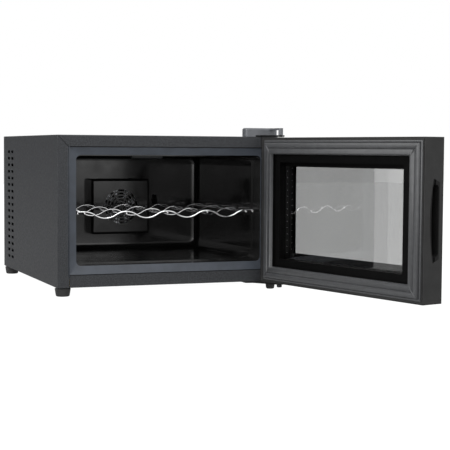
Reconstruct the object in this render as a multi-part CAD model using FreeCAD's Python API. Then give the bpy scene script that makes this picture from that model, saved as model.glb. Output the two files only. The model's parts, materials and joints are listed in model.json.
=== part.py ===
import FreeCAD, Part
import math
import os

# Countertop wine cooler: a thermoelectric cabinet with a right-hung glass door.
# Millimetres. X runs to the right, Y to the back and Z up. The origin is on the
# floor, under the centre of the cabinet. The door is modelled shut, then opened.

V = FreeCAD.Vector
UP = V(0, 0, 1)
BACK = V(0, 1, 0)
RIGHT = V(1, 0, 0)

# ---- cabinet ---------------------------------------------------------------
cabinet_width = 448.0
cabinet_depth = 484.0
cabinet_height = 285.0
foot_height = 17.0
sheet = 1.0                  # steel of the wrap, base and back
bend_radius = 1.5            # outside of the folded edges
strip_width = 22.5           # folded front strips, left, right and top
base_strip = 23.5            # front strip of the base pan
seam = 0.3                   # gap between parts that only meet
strip_gap = 1.4              # dark gap at each end of the base pan's front strip
floor_flange = 20.0          # inward fold under the side walls
rear_flange = 12.0           # inward fold that carries the back panel

# ---- vents in both side walls ----------------------------------------------
vent_rows = 17
vent_pitch = 14.1
vent_length = 22.0
vent_height = 6.0
vent_lowest = 26.0           # above the cabinet's underside
vent_columns = (53.0, 88.0)  # in from the back

# ---- cavity ----------------------------------------------------------------
cavity_width = 374.0
cavity_floor = 40.0          # above the cabinet's underside
cavity_ceiling = 248.0
machine_space = 116.0        # cavity's back wall to the back of the cabinet
back_foam = 15.0             # cavity's back wall to the bulkhead
mouth_depth = 48.0
mouth_step = 2.0
mouth_radius = 9.5
cavity_radius = 20.0
cavity_back_radius = 12.0
liner_wall = 2.0
liner_flange = 11.0
trim_start = sheet
trim_slope = 4.5             # depth where the trim's slope ends
trim_back = 6.0
trim_tuck = 6.0              # hidden behind the strips
foam_gap = 0.2

# ---- shelf -----------------------------------------------------------------
wire_radius = 1.6
rod_radius = 1.8
wave_crests = 5              # crests along one wire, each over a rod
wave_end = 14.0              # straight run at each end of a wire
wave_height = 12.5
wave_top = 140.0             # wire centre at a crest, above the cabinet's underside
wave_wires = 4
wave_front = 27.0            # first wire, from the front of the strips
wave_rear = 56.0             # last wire, in front of the cavity's back wall
rod_over = 4.0               # rod's length in front of the first wire
rod_behind = 10.0            # and behind the last
side_rod_inset = 6.0         # side rod centre, in from the cavity wall
ledge_width = 9.0
ledge_height = 6.0
ledge_start = 52.0           # from the front of the strips
ledge_rear = 38.0            # rail's end, in front of the cavity's back wall
ledge_clearance = 0.4
rail_web = 1.5               # rail's thickness against the cavity wall
rail_lip = 4.5               # height of its upper rib

# ---- door ------------------------------------------------------------------
door_thickness = 44.0
door_gap = 8.0               # inner face to the front strips, shut
door_bottom = 4.0            # above the cabinet's underside
door_top = 283.0
door_wall = 2.2
hinge_inset = 16.0           # axis, in from the cabinet's side
hinge_back = 35.0            # axis to the door's inner face
open_angle = 103.6
glass_front = 4.0
glass_inner = 3.0
glass_clearance = 0.2
gasket_side = 13.0           # gasket, in from the door's hinge side
gasket_free = 4.5            # and from its free edge
gasket_end = 5.5             # and from the door's top and bottom
gasket_width = 27.0
gasket_proud = 7.5
magnet_width = 8.0
magnet_thick = 2.0
border_width = 14.5          # black border inside the gasket
border_depth = 4.0
border_wall = 2.0
pane_depth = 17.5            # inner pane, behind the inner face
spacer_width = 5.0
boss_length = 18.0           # solid door corner around each hinge bush
boss_reach = 24.0            # from the door's hinge side
boss_depth = 22.0            # its face, from the inner face
frame_lap = 3.0              # the seal covers this much of the window's edge
pane_radius = 1.0
rim_set = 0.4                # moulding's rim, behind the inner face
groove_inset = 0.9           # shadow groove round the inner face, in from its edges
groove_width = 1.3
groove_depth = 1.2
control_width = 96.0
control_tall = 24.0
control_depth = 9.0
control_drop = 2.0           # below the middle of the upper border
board_thin = 1.6
display_wide = 26.0
display_tall = 16.0
touch_spring_radius = 3.0
touch_places = (-38.0, -24.0, 24.0, 38.0)

# ---- handle pocket in the door's free edge -----------------------------------
pocket_clearance = 0.1
slot_near = 19.5             # slot edges, from the inner face
slot_far = 33.0
slot_length = 121.0
pocket_depth = 24.0
pocket_wall = 2.0
scoop_near = 13.4
scoop_far = 35.0
scoop_length = 141.0
scoop_angle = 25.0
scoop_body = 9.0
scoop_bow = 7.5              # how far the crescent's edge bows
scoop_taper = 6.0            # its straight edge is this much shorter at each end
scoop_rim = 0.8

# ---- hinges ------------------------------------------------------------------
pin_radius = 2.5
pin_clearance = 0.05
plate_thickness = 3.0
bush_radius = 4.5
bush_length = 16.0
bush_flange_radius = 6.0
top_flange_height = 1.4
arm_radius = 7.5
cover_left = 153.0
cover_right = 220.0
cover_height = 17.0
cover_depth = 22.0
cover_wall = 2.0
cover_round = 4.0
top_plate_left = 156.0
top_arm_left = 183.0
top_plate_back = 17.5        # bracket's depth on the casing, from the front
top_screw_inset = 11.0       # first screw, in from the bracket's left end
top_screw_back = 10.5        # both screws, from the front
low_plate_left = 156.0
low_arm_left = 170.0
low_plate_back = 40.0
hinge_screw_radius = 2.0
hinge_screw_head = 3.8
pin_clear = 0.2
cap_radius = 4.5
cap_slab = 4.0
pin_head_radius = 5.0
pin_head_height = 5.5

# ---- cooling unit ------------------------------------------------------------
unit_height = 135.0          # centre line, above the cabinet's underside
block_size = 40.0
module_thick = 3.8
clamp_offset = 30.0
clamp_radius = 2.0
cold_sink_size = 100.0
cold_sink_base = 5.0
cold_fin_height = 12.0
cold_fan_size = 80.0
cold_fan_thick = 10.0
cold_fan_holes = 71.5
cold_cover_width = 130.0
cold_cover_height = 120.0
cold_cover_depth = 34.0
cold_cover_wall = 2.2
hot_sink_size = 112.0
hot_sink_base = 6.0
hot_fin_height = 34.0
fin_pitch = 5.5
fin_thick = 1.2
hot_fan_size = 92.0
hot_fan_thick = 25.0
hot_fan_holes = 82.5
fan_gap = 2.0
fan_screw_radius = 1.5
fan_shaft_radius = 1.5
tip_clearance = 1.0
duct_wall = 2.0
hub_share = 0.19             # hub's radius for each mm of fan size
blade_pitch = 32.0
blade_thick = 1.4
cold_blades = 9
hot_blades = 7
pellet_rows = 7
pellet_pitch = 5.0
pellet_size = 2.8
cover_screw_radius = 1.5
cover_boss_radius = 4.0
cover_ring_pitch = 7.0
cover_ring_width = 3.8
cover_spoke = 3.0
lamp_depth = 150.0           # lamp lens, from the front of the strips
lamp_width = 64.0
lamp_length = 16.0
lamp_drop = 6.0
lamp_wall = 1.5
lamp_pitch = 8.0
sensor_radius = 3.0
sensor_offset = 22.0         # beside the fan cover

# ---- mains side ----------------------------------------------------------------
inlet_x = 150.0
inlet_height = 45.0          # above the cabinet's underside
inlet_width = 27.0
inlet_tall = 20.0
inlet_depth = 18.0
inlet_flange = 3.0
inlet_flange_width = 50.0
inlet_flange_tall = 23.0
socket_width = 24.0
socket_tall = 17.0
socket_depth = 15.5
inlet_screw_offset = 20.0
inlet_pin_spread = 7.0
inlet_pin_low = 2.0
inlet_pin_high = 4.0
inlet_key = 4.5
board_left = -188.0
board_right = -78.0
board_low = 60.0
board_high = 190.0
board_standoff = 8.0
board_thick = 1.6
board_inset = 6.0
standoff_radius = 3.0
standoff_screw_radius = 1.2
core_width = 42.0
core_height = 35.0
core_depth = 30.0
core_leg = 10.0
core_left = 28.0             # from the board's left edge
core_low = 30.0              # from the board's lower edge

# ---- grille and slots in the back and base ------------------------------------------
panel_screw_radius = 1.5
grille_rings = 5
grille_pitch = 8.0
grille_gap = 4.5
grille_spoke = 3.0
rear_slot_rows = 9
rear_slot_pitch = 11.0
rear_slot_length = 64.0
rear_slot_height = 4.0
rear_slot_offset = 130.0
rear_slot_drop = 60.0        # highest row, below the roof
floor_slot_rows = 4
floor_slot_pitch = 14.0
floor_slot_columns = 5
floor_slot_spacing = 60.0
floor_slot_length = 44.0
floor_slot_width = 5.0
floor_slot_start = 30.0      # first row, in from the back
joggle = 14.0                # depth of the step behind the base strip
rear_lip = 15.0              # height of the base pan's rear lip

# ---- feet ------------------------------------------------------------------------
foot_radius = 15.0
foot_neck = 10.0
foot_inset = 14.0
foot_setback = 16.0
slim_foot_radius = 9.5
slim_foot_setback = 14.0
slim_foot_inset = 10.5
foot_neck_height = 1.6
foot_rim = 3.0
foot_recess = 6.0
foot_recess_radius = 4.5
foot_hole_radius = 2.1
foot_screw_radius = 2.0

# ---- levels and planes that follow from the sizes ------------------------------
half_width = cabinet_width / 2
front = -cabinet_depth / 2
rear = cabinet_depth / 2
base = foot_height
roof = base + cabinet_height
pan_top = base + 2 * sheet
half_cavity = cavity_width / 2
half_rear_cavity = half_cavity - mouth_step
cavity_low = base + cavity_floor
cavity_high = base + cavity_ceiling
back_wall = rear - machine_space
bulkhead_front = back_wall + back_foam
bulkhead_rear = bulkhead_front + sheet
unit_z = base + unit_height
crest = base + wave_top
rod_level = crest - wire_radius - rod_radius
axis_x = half_width - hinge_inset
axis_y = front - door_gap - hinge_back
inner_face = front - door_gap
outer_face = inner_face - door_thickness
glass_back = outer_face + glass_front
door_low = base + door_bottom
door_high = base + door_top
door_middle = (door_low + door_high) / 2
sight_side = gasket_side + gasket_width + border_width
sight_end = gasket_end + gasket_width + border_width
seal_left = -half_width + gasket_free
seal_right = half_width - gasket_side
seal_low = door_low + gasket_end
seal_high = door_high - gasket_end
window_inset = gasket_width - frame_lap
inlet_z = base + inlet_height
control_z = door_high - sight_end / 2 - control_drop
slot_middle = inner_face - (slot_near + slot_far) / 2
shelf_half = half_rear_cavity - side_rod_inset
wave_start = wave_end - shelf_half
wave_pitch = -2 * wave_start / (wave_crests - 1)
first_wire = front + wave_front
wire_spacing = (back_wall - wave_rear - first_wire) / (wave_wires - 1)
last_wire = first_wire + (wave_wires - 1) * wire_spacing
cold_fan_y = back_wall - cold_sink_base - cold_fin_height - fan_gap - cold_fan_thick
hot_fan_y = bulkhead_rear + hot_sink_base + hot_fin_height + fan_gap
foot_places = [
    ("front_left_foot", -half_width + foot_inset, front + foot_setback),
    ("rear_left_foot", -half_width + foot_inset, rear - foot_setback),
    ("rear_right_foot", half_width - foot_inset, rear - foot_setback),
]
slim_foot_x = half_width - slim_foot_inset
slim_foot_y = front + slim_foot_setback
foot_screw_places = [(x, y) for _, x, y in foot_places] + [(slim_foot_x, slim_foot_y)]
panel_screw_places = [
    (side * (half_width - sheet - rear_flange / 2), base + cabinet_height * share)
    for side in (-1, 1)
    for share in (0.1, 0.5, 0.9)
]
top_screw_places = [(top_plate_left + top_screw_inset, front + top_screw_back),
                    (axis_x - 8.0, front + top_screw_back)]
lower_screw_places = [(low_plate_left + 10.0, front + 30.0), (axis_x - 22.0, front + 26.0)]
parts_folder = "parts"


def box(x0, x1, y0, y1, z0, z1):
    """A block between two corners."""
    return Part.makeBox(x1 - x0, y1 - y0, z1 - z0, V(x0, y0, z0))


def rod(start, direction, radius, length):
    """A round bar from a point along a direction."""
    return Part.makeCylinder(radius, length, start, direction)


def fuse(shapes):
    """One solid from several."""
    joined = shapes[0].fuse(shapes[1:]) if len(shapes) > 1 else shapes[0]
    return joined.removeSplitter()


def rounded_wire(x0, x1, z0, z1, radius, y):
    """A rectangle with round corners, upright in the plane at y."""
    turn = radius * (1 - math.sqrt(0.5))
    points = [
        (V(x0 + radius, y, z0), V(x1 - radius, y, z0), V(x1 - turn, y, z0 + turn)),
        (V(x1, y, z0 + radius), V(x1, y, z1 - radius), V(x1 - turn, y, z1 - turn)),
        (V(x1 - radius, y, z1), V(x0 + radius, y, z1), V(x0 + turn, y, z1 - turn)),
        (V(x0, y, z1 - radius), V(x0, y, z0 + radius), V(x0 + turn, y, z0 + turn)),
    ]
    edges = []
    for i, (start, end, middle) in enumerate(points):
        following = points[(i + 1) % 4][0]
        edges.append(Part.LineSegment(start, end).toShape())
        edges.append(Part.Arc(end, middle, following).toShape())
    return Part.Wire(edges)


def rounded_prism(x0, x1, z0, z1, radius, y0, y1):
    """A block along Y whose four long edges are round."""
    face = Part.Face(rounded_wire(x0, x1, z0, z1, radius, y0))
    return face.extrude(V(0, y1 - y0, 0))


def mitred_ring(x0, x1, z0, z1, profile):
    """A frame with mitred corners; the profile lists (inset, y) points in order."""
    faces = []
    loops = []
    for inset, y in profile:
        loops.append([
            V(x0 + inset, y, z0 + inset),
            V(x1 - inset, y, z0 + inset),
            V(x1 - inset, y, z1 - inset),
            V(x0 + inset, y, z1 - inset),
        ])
    for i, loop in enumerate(loops):
        following = loops[(i + 1) % len(loops)]
        for k in range(4):
            n = (k + 1) % 4
            corners = [loop[k], loop[n], following[n], following[k], loop[k]]
            faces.append(Part.Face(Part.makePolygon(corners)))
    solid = Part.Solid(Part.Shell(faces))
    if solid.Volume < 0:
        solid.reverse()
    return solid


def slot_along_x(y, z, length, height, x0, x1):
    """A slot with round ends that runs along Y, cut through in X."""
    r = height / 2
    reach = length / 2 - r
    body = box(x0, x1, y - reach, y + reach, z - r, z + r)
    ends = [rod(V(x0, y + s * reach, z), RIGHT, r, x1 - x0) for s in (-1, 1)]
    return fuse([body] + ends)


def fillet_where(shape, radius, chosen):
    """Round the edges that a test picks."""
    edges = [e for e in shape.Edges if chosen(e.BoundBox)]
    return shape.makeFillet(radius, edges)


def swing(shape):
    """Open a door part about the hinge axis."""
    turned = shape.copy()
    turned.rotate(V(axis_x, axis_y, 0), UP, open_angle)
    return turned


def save(name, shape):
    """Write one sub-part and say what it holds."""
    if isinstance(shape, list):
        shape = Part.makeCompound(shape)
    for solid in shape.Solids:
        if not solid.isValid() or solid.Volume <= 0:
            print("CHECK", name)
    shape.exportStep(os.path.join(parts_folder, name + ".step"))
    print(f"{name:24s} solids {len(shape.Solids):3d}  volume {shape.Volume / 1000:9.2f} cm3")


# ---- outer casing ------------------------------------------------------------------

def foot_holes():
    """Holes for the feet's screws, through base pan and fold."""
    return [rod(V(x, y, base - 1), UP, foot_hole_radius, 2 * sheet + 2)
            for x, y in foot_screw_places]


def side_vents():
    """Two columns of slots near the back of each side wall."""
    cuts = []
    for side in (-1, 1):
        x0 = side * half_width - 2 * sheet
        for inward in vent_columns:
            for row in range(vent_rows):
                z = base + vent_lowest + row * vent_pitch
                cuts.append(slot_along_x(rear - inward, z, vent_length, vent_height,
                                         x0, x0 + 4 * sheet))
    return cuts


def mitre_line(side):
    """The thin diagonal joint where two front strips meet at a top corner."""
    length = strip_width * math.sqrt(2) - 2 * bend_radius
    line = box(0, length, front - 1, front + sheet, -seam / 2, seam / 2)
    line.rotate(V(0, 0, 0), BACK, 45 if side < 0 else 135)
    line.translate(V(side * (half_width - bend_radius), 0, roof - bend_radius))
    return line


def outer_wrap():
    """Left wall, roof and right wall in one folded sheet, with the front strips."""
    block = box(-half_width, half_width, front, rear, base, roof)
    tol = 0.01

    def folded(bb):
        at_roof = bb.ZMin > roof - tol
        long_edge = at_roof and bb.YLength > tol
        front_edge = bb.YMax < front + tol and (at_roof or bb.ZLength > tol)
        return long_edge or front_edge

    block = fillet_where(block, bend_radius, folded)
    wall = half_width - sheet
    hollow = box(-wall, wall, front + sheet, rear - 2 * sheet, base + sheet, roof - sheet)
    underside = box(-wall + floor_flange, wall - floor_flange, front + sheet, rear,
                    base - 1, base + sheet)
    mouth_half = half_width - strip_width
    mouth = box(-mouth_half, mouth_half, front - 1, front + sheet, base - 1,
                roof - strip_width)
    rear_mouth = box(-wall + rear_flange, wall - rear_flange, rear - 2 * sheet, rear,
                     base + sheet, roof - sheet - rear_flange)
    rear_seat = box(-wall, wall, rear - sheet, rear, base + sheet, roof - sheet)
    screw_holes = [rod(V(x, rear - 3 * sheet, z), BACK, panel_screw_radius, 3 * sheet)
                   for x, z in panel_screw_places]
    cuts = [hollow, underside, mouth, rear_mouth, rear_seat, mitre_line(-1), mitre_line(1)]
    return block.cut(cuts + side_vents() + foot_holes() + screw_holes)


def base_pan():
    """Folded floor of the casing, with its own front strip and rear lip."""
    wall = half_width - sheet - seam
    strip_half = half_width - strip_width - strip_gap
    lip_half = half_width - sheet - rear_flange - seam
    plate = box(-wall, wall, front + sheet + seam, rear - 2 * sheet - seam,
                base + sheet, pan_top)
    strip = box(-strip_half, strip_half, front, front + sheet, base, base + base_strip)
    tongue = box(-strip_half, strip_half, front, front + joggle, base, base + sheet)
    step = box(-strip_half, strip_half, front + joggle - sheet, front + joggle, base, pan_top)
    rear_tongue = box(-lip_half, lip_half, rear - 6 * sheet, rear - sheet,
                      base + sheet, pan_top)
    lip = box(-lip_half, lip_half, rear - 2 * sheet, rear - sheet,
              base + sheet, base + rear_lip)
    pan = fuse([plate, strip, tongue, step, rear_tongue, lip])
    slots = []
    for row in range(floor_slot_rows):
        for column in range(floor_slot_columns):
            x = (column - (floor_slot_columns - 1) / 2) * floor_slot_spacing
            y = rear - floor_slot_start - row * floor_slot_pitch
            slots.append(box(x - floor_slot_length / 2, x + floor_slot_length / 2,
                             y - floor_slot_width / 2, y + floor_slot_width / 2,
                             base, pan_top + 1))
    clearance = 3 * sheet
    plate_relief = box(-wall - 1, -wall + floor_flange + seam, front, front + joggle,
                       base - 1, base + sheet)
    mirrored = box(wall - floor_flange - seam, wall + 1, front, front + joggle,
                   base - 1, base + sheet)
    hinge_holes = [rod(V(x, y, base - 1), UP, hinge_screw_radius, clearance)
                   for x, y in lower_screw_places]
    return pan.cut(slots + foot_holes() + [plate_relief, mirrored] + hinge_holes)


def back_panel():
    """Flat rear sheet with the fan's grille, air slots and the inlet's cut-out."""
    wall = half_width - sheet - seam
    panel = box(-wall, wall, rear - sheet, rear, base + sheet + seam, roof - sheet - seam)
    y0 = rear - 2 * sheet
    deep = 3 * sheet
    cuts = []
    reach = hot_fan_size
    for ring in range(1, grille_rings + 1):
        r = ring * grille_pitch
        washer = rod(V(0, y0, unit_z), BACK, r + grille_gap / 2, deep)
        washer = washer.cut(rod(V(0, y0, unit_z), BACK, r - grille_gap / 2, deep))
        for angle in (45, 135):
            bar = box(-reach, reach, y0, y0 + deep, -grille_spoke / 2, grille_spoke / 2)
            bar.rotate(V(0, 0, 0), BACK, angle)
            bar.translate(V(0, 0, unit_z))
            washer = washer.cut(bar)
        cuts += washer.Solids
    for side in (-1, 1):
        middle = side * rear_slot_offset
        for row in range(rear_slot_rows):
            z = roof - rear_slot_drop - row * rear_slot_pitch
            cuts.append(box(middle - rear_slot_length / 2, middle + rear_slot_length / 2,
                            y0, y0 + deep, z - rear_slot_height / 2,
                            z + rear_slot_height / 2))
    cuts.append(rounded_prism(inlet_x - inlet_width / 2 - foam_gap,
                              inlet_x + inlet_width / 2 + foam_gap,
                              inlet_z - inlet_tall / 2 - foam_gap,
                              inlet_z + inlet_tall / 2 + foam_gap, 2.0, y0, y0 + deep))
    for side in (-1, 1):
        cuts.append(rod(V(inlet_x + side * inlet_screw_offset, y0, inlet_z), BACK,
                        panel_screw_radius, deep))
    for x, z in panel_screw_places:
        cuts.append(rod(V(x, y0, z), BACK, panel_screw_radius, deep))
    return panel.cut(cuts)


def screw(x, y, z, direction, radius, length, head_radius, head_height):
    """A pan-head screw; its head sits on the point and the shank runs along."""
    shank = rod(V(x, y, z), direction, radius, length)
    start = V(x, y, z) - direction * head_height
    head = rod(start, direction, head_radius, head_height)
    rim = min(head_height, head_radius) * 0.45
    head = fillet_where(head, rim, lambda bb: start_edge(bb, start, direction))
    return fuse([shank, head])


def start_edge(bb, start, direction):
    """True for the circular edge in the plane through start, across direction."""
    middle = V((bb.XMin + bb.XMax) / 2, (bb.YMin + bb.YMax) / 2, (bb.ZMin + bb.ZMax) / 2)
    thin = abs(direction.x * bb.XLength + direction.y * bb.YLength + direction.z * bb.ZLength)
    return thin < 1e-3 and abs((middle - start).dot(direction)) < 1e-3


def foot(x, y, top, radius):
    """A turned rubber foot with a neck, a slight taper and a round rim."""
    neck = foot_neck_height
    rim = foot_rim
    slim = radius * 0.88
    profile = [
        V(0, 0, 0),
        V(slim - rim, 0, 0),
        V(slim, 0, rim),
        V(radius, 0, top - neck - 1.0),
        V(radius - 1.0, 0, top - neck),
        V(min(foot_neck, radius - 2.0), 0, top - neck),
        V(min(foot_neck, radius - 2.0), 0, top),
        V(0, 0, top),
    ]
    corner = rim * (1 - math.sqrt(0.5))
    arc = Part.Arc(profile[1], V(slim - corner, 0, corner), profile[2]).toShape()
    lines = [Part.LineSegment(profile[i], profile[i + 1]).toShape() for i in (0, 2, 3, 4, 5, 6)]
    closing = Part.LineSegment(profile[7], profile[0]).toShape()
    outline = Part.Wire([lines[0], arc] + lines[1:] + [closing])
    body = Part.Face(outline).revolve(V(0, 0, 0), UP, 360)
    body = body.cut(rod(V(0, 0, foot_recess), UP, foot_screw_radius + 0.1, top))
    body = body.cut(rod(V(0, 0, -1), UP, foot_recess_radius, foot_recess + 1))
    body.translate(V(x, y, 0))
    return body


def foot_screws():
    """One screw up through each foot into the base pan."""
    length = pan_top + 2 - foot_recess
    return [screw(x, y, foot_recess, UP, foot_screw_radius, length, 4.0, 2.2)
            for x, y in foot_screw_places]


# ---- cavity -----------------------------------------------------------------------

def trim_frame():
    """Frame around the mouth: hidden rim, sloped face and a round-cornered opening."""
    outer_half = half_width - strip_width
    low = base + base_strip
    high = roof - strip_width
    block = box(-outer_half - trim_tuck, outer_half + trim_tuck, front + trim_start,
                front + trim_back, low - trim_tuck, high + trim_tuck)
    wide = rounded_wire(-outer_half + seam, outer_half - seam, low + seam, high - seam,
                        1.0, front + trim_start)
    narrow = rounded_wire(-half_cavity, half_cavity, cavity_low, cavity_high,
                          mouth_radius, front + trim_slope)
    slope = Part.makeLoft([wide, narrow], True, True)
    opening = rounded_prism(-half_cavity, half_cavity, cavity_low, cavity_high,
                            mouth_radius, front, front + trim_back + 1)
    return block.cut([slope, opening])


def cavity_space(grow):
    """The room inside the liner, or the liner's outside when grown by its wall."""
    mouth = rounded_prism(-half_cavity - grow, half_cavity + grow, cavity_low - grow,
                          cavity_high + grow, mouth_radius + grow, front + trim_back,
                          front + mouth_depth + grow)
    low = cavity_low + mouth_step - grow
    high = cavity_high - mouth_step + grow
    half = half_rear_cavity + grow
    room = rounded_prism(-half, half, low, high, cavity_radius + grow,
                         front + mouth_depth - 5, back_wall + grow)
    end = back_wall + grow - 0.01
    room = fillet_where(room, cavity_back_radius + grow, lambda bb: bb.YMin > end)
    return fuse([mouth, room])


def shelf_rails():
    """A channel on each side wall; the shelf's side rods run between its two ribs."""
    under = rod_level - rod_radius - ledge_clearance
    over = crest + wire_radius + 2 * ledge_clearance + 1.0
    y0 = front + ledge_start
    y1 = back_wall - ledge_rear
    rails = []
    for side in (-1, 1):
        wall = side * half_rear_cavity
        web = side * (half_rear_cavity - rail_web)
        lip = side * (half_rear_cavity - ledge_width)
        rails.append(fuse([
            box(min(wall, web), max(wall, web), y0, y1, under - ledge_height, over + rail_lip),
            box(min(wall, lip), max(wall, lip), y0, y1, under - ledge_height, under),
            box(min(wall, lip), max(wall, lip), y0, y1, over, over + rail_lip),
        ]))
    return rails


def clamp_places():
    """The four corners where screws pull the two heat sinks together."""
    return [(a * clamp_offset, unit_z + b * clamp_offset) for a in (-1, 1) for b in (-1, 1)]


def liner_shell():
    """Tub and mouth in one shell, with a flange in front and no holes."""
    flange = box(-half_cavity - liner_flange, half_cavity + liner_flange,
                 front + trim_back, front + trim_back + liner_wall,
                 cavity_low - liner_flange, cavity_high + liner_flange)
    return cavity_space(liner_wall).fuse(flange).cut(cavity_space(0.0))


def behind_collar():
    """Everything behind the plane where the collar ends and the tub starts."""
    return box(-half_width, half_width, front + mouth_depth + liner_wall, rear, base, roof)


def liner_collar():
    """The wider mouth in front of the tub, with the flange behind the trim frame."""
    return liner_shell().cut(behind_collar())


def inner_liner():
    """Moulded tub with round corners, holed for the cold block and its screws."""
    tub = liner_shell().common(behind_collar())
    half = block_size / 2 + foam_gap
    cuts = [box(-half, half, back_wall - 5, back_wall + 5, unit_z - half, unit_z + half)]
    for x, z in clamp_places():
        cuts.append(rod(V(x, back_wall - 5, z), BACK, clamp_radius + 0.5, 10))
    return tub.cut(cuts)


def insulation_foam():
    """Foam between the casing and the liner, up to the bulkhead."""
    wall = half_width - sheet - foam_gap
    block = box(-wall, wall, front + trim_back + liner_wall + foam_gap,
                bulkhead_front - foam_gap, pan_top + foam_gap, roof - sheet - foam_gap)
    cuts = [cavity_space(liner_wall + foam_gap)]
    half = block_size / 2 + foam_gap
    cuts.append(box(-half, half, back_wall, bulkhead_rear, unit_z - half, unit_z + half))
    for x, z in clamp_places():
        cuts.append(rod(V(x, back_wall, z), BACK, clamp_radius + 1.0, 40))
    for x, y in foot_screw_places + lower_screw_places:
        cuts.append(rod(V(x, y, base), UP, foot_hole_radius + 1.0, 12))
    for x, y in top_screw_places:
        cuts.append(rod(V(x, y, roof - 14), UP, foot_hole_radius + 1.0, 14))
    return block.cut(cuts)


def foam_bulkhead():
    """Sheet that closes the foam at the back; the heat sink passes its window."""
    wall = half_width - sheet - seam
    plate = box(-wall, wall, bulkhead_front, bulkhead_rear, pan_top + seam,
                roof - sheet - seam)
    half = block_size / 2 + 1.0
    window = box(-half, half, bulkhead_front - 1, bulkhead_rear + 1, unit_z - half,
                 unit_z + half)
    holes = [rod(V(x, bulkhead_front - 1, z), BACK, clamp_radius + 0.5, 5)
             for x, z in clamp_places()]
    for x, z in standoff_places():
        holes.append(rod(V(x, bulkhead_front - 1, z), BACK, standoff_screw_radius, 5))
    return plate.cut([window] + holes)


def lamp_lens():
    """Frosted cover on the cavity's ceiling, hollow above for its board."""
    ceiling = cavity_high - mouth_step
    half = lamp_width / 2
    y0 = front + lamp_depth
    body = box(-half, half, y0, y0 + lamp_length, ceiling - lamp_drop, ceiling)
    body = fillet_where(body, 2.5, lambda bb: bb.ZMax < ceiling - lamp_drop / 2)
    inside = box(-half + lamp_wall, half - lamp_wall, y0 + lamp_wall,
                 y0 + lamp_length - lamp_wall, ceiling - lamp_drop + lamp_wall, ceiling)
    return body.cut(inside)


def lamp_board():
    """Light strip inside the lens, with its row of lamps."""
    ceiling = cavity_high - mouth_step
    half = lamp_width / 2 - 2 * lamp_wall
    middle = front + lamp_depth + lamp_length / 2
    reach = lamp_length / 2 - 2 * lamp_wall
    board = box(-half, half, middle - reach, middle + reach, ceiling - board_thin, ceiling)
    count = int((half - 3) / lamp_pitch)
    lamps = [box(k * lamp_pitch - 1.5, k * lamp_pitch + 1.5, middle - 1.5, middle + 1.5,
                 ceiling - board_thin - 1.2, ceiling - board_thin)
             for k in range(-count, count + 1)]
    return fuse([board] + lamps)


def temperature_sensor():
    """Round probe in a clip on the back wall, beside the fan cover."""
    x = cold_cover_width / 2 + sensor_offset
    y = back_wall - sensor_radius - 4.0
    probe = rod(V(x, y, unit_z), UP, sensor_radius, 8 * sensor_radius)
    probe = fillet_where(probe, 0.6 * sensor_radius, lambda bb: bb.ZLength < 0.01)
    half = 1.5 * sensor_radius
    clip = box(x - half, x + half, y - 1, back_wall, unit_z + 8, unit_z + 15)
    return fuse([probe, clip])


# ---- cooling unit ----------------------------------------------------------------

def finned_sink(size, base_y0, base_y1, fin_y0, fin_y1, keepouts):
    """A plate with upright fins, cleared where screw heads and screws go."""
    half = size / 2
    plate = box(-half, half, base_y0, base_y1, unit_z - half, unit_z + half)
    count = int((half - fin_thick) / fin_pitch)
    fins = []
    for k in range(-count, count + 1):
        x = k * fin_pitch
        fins.append(box(x - fin_thick / 2, x + fin_thick / 2, fin_y0, fin_y1,
                        unit_z - half, unit_z + half))
    return fuse([plate] + fins).cut(keepouts)


def cold_sink():
    """Heat sink inside the cavity, against the back wall."""
    y1 = back_wall
    y0 = y1 - cold_sink_base
    keep = [rod(V(x, y0 - 1, z), BACK, clamp_radius, cold_sink_base + 2)
            for x, z in clamp_places()]
    return finned_sink(cold_sink_size, y0, y1, y0 - cold_fin_height, y0, keep)


def hot_sink():
    """Larger heat sink behind the bulkhead."""
    y0 = bulkhead_rear
    y1 = y0 + hot_sink_base
    keep = []
    for x, z in clamp_places():
        keep.append(rod(V(x, y0 - 1, z), BACK, clamp_radius + 0.3, hot_sink_base + 2))
        keep.append(rod(V(x, y1, z), BACK, 4.6, hot_fin_height + 1))
    return finned_sink(hot_sink_size, y0, y1, y1, y1 + hot_fin_height, keep)


def cold_block():
    """Aluminium block that carries the cold through the foam."""
    half = block_size / 2
    return box(-half, half, back_wall, bulkhead_rear - module_thick, unit_z - half, unit_z + half)


def thermoelectric_module():
    """The heat pump: a ceramic sandwich with rows of pellets and two leads' pads."""
    y1 = bulkhead_rear
    y0 = y1 - module_thick
    half = block_size / 2
    skin = 0.8
    plates = [box(-half, half, y0, y0 + skin, unit_z - half, unit_z + half),
              box(-half, half, y1 - skin, y1, unit_z - half, unit_z + half)]
    pellets = []
    reach = pellet_size / 2
    for i in range(pellet_rows):
        for k in range(pellet_rows):
            x = (i - (pellet_rows - 1) / 2) * pellet_pitch
            z = unit_z + (k - (pellet_rows - 1) / 2) * pellet_pitch
            pellets.append(box(x - reach, x + reach, y0 + skin, y1 - skin,
                               z - reach, z + reach))
    return fuse(plates + pellets)


def clamp_screws():
    """Long screws from the hot sink into the cold sink."""
    head_y = bulkhead_rear + hot_sink_base
    length = head_y - (back_wall - cold_sink_base)
    return [screw(x, head_y, z, V(0, -1, 0), clamp_radius, length, 3.8, 3.0)
            for x, z in clamp_places()]


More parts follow.
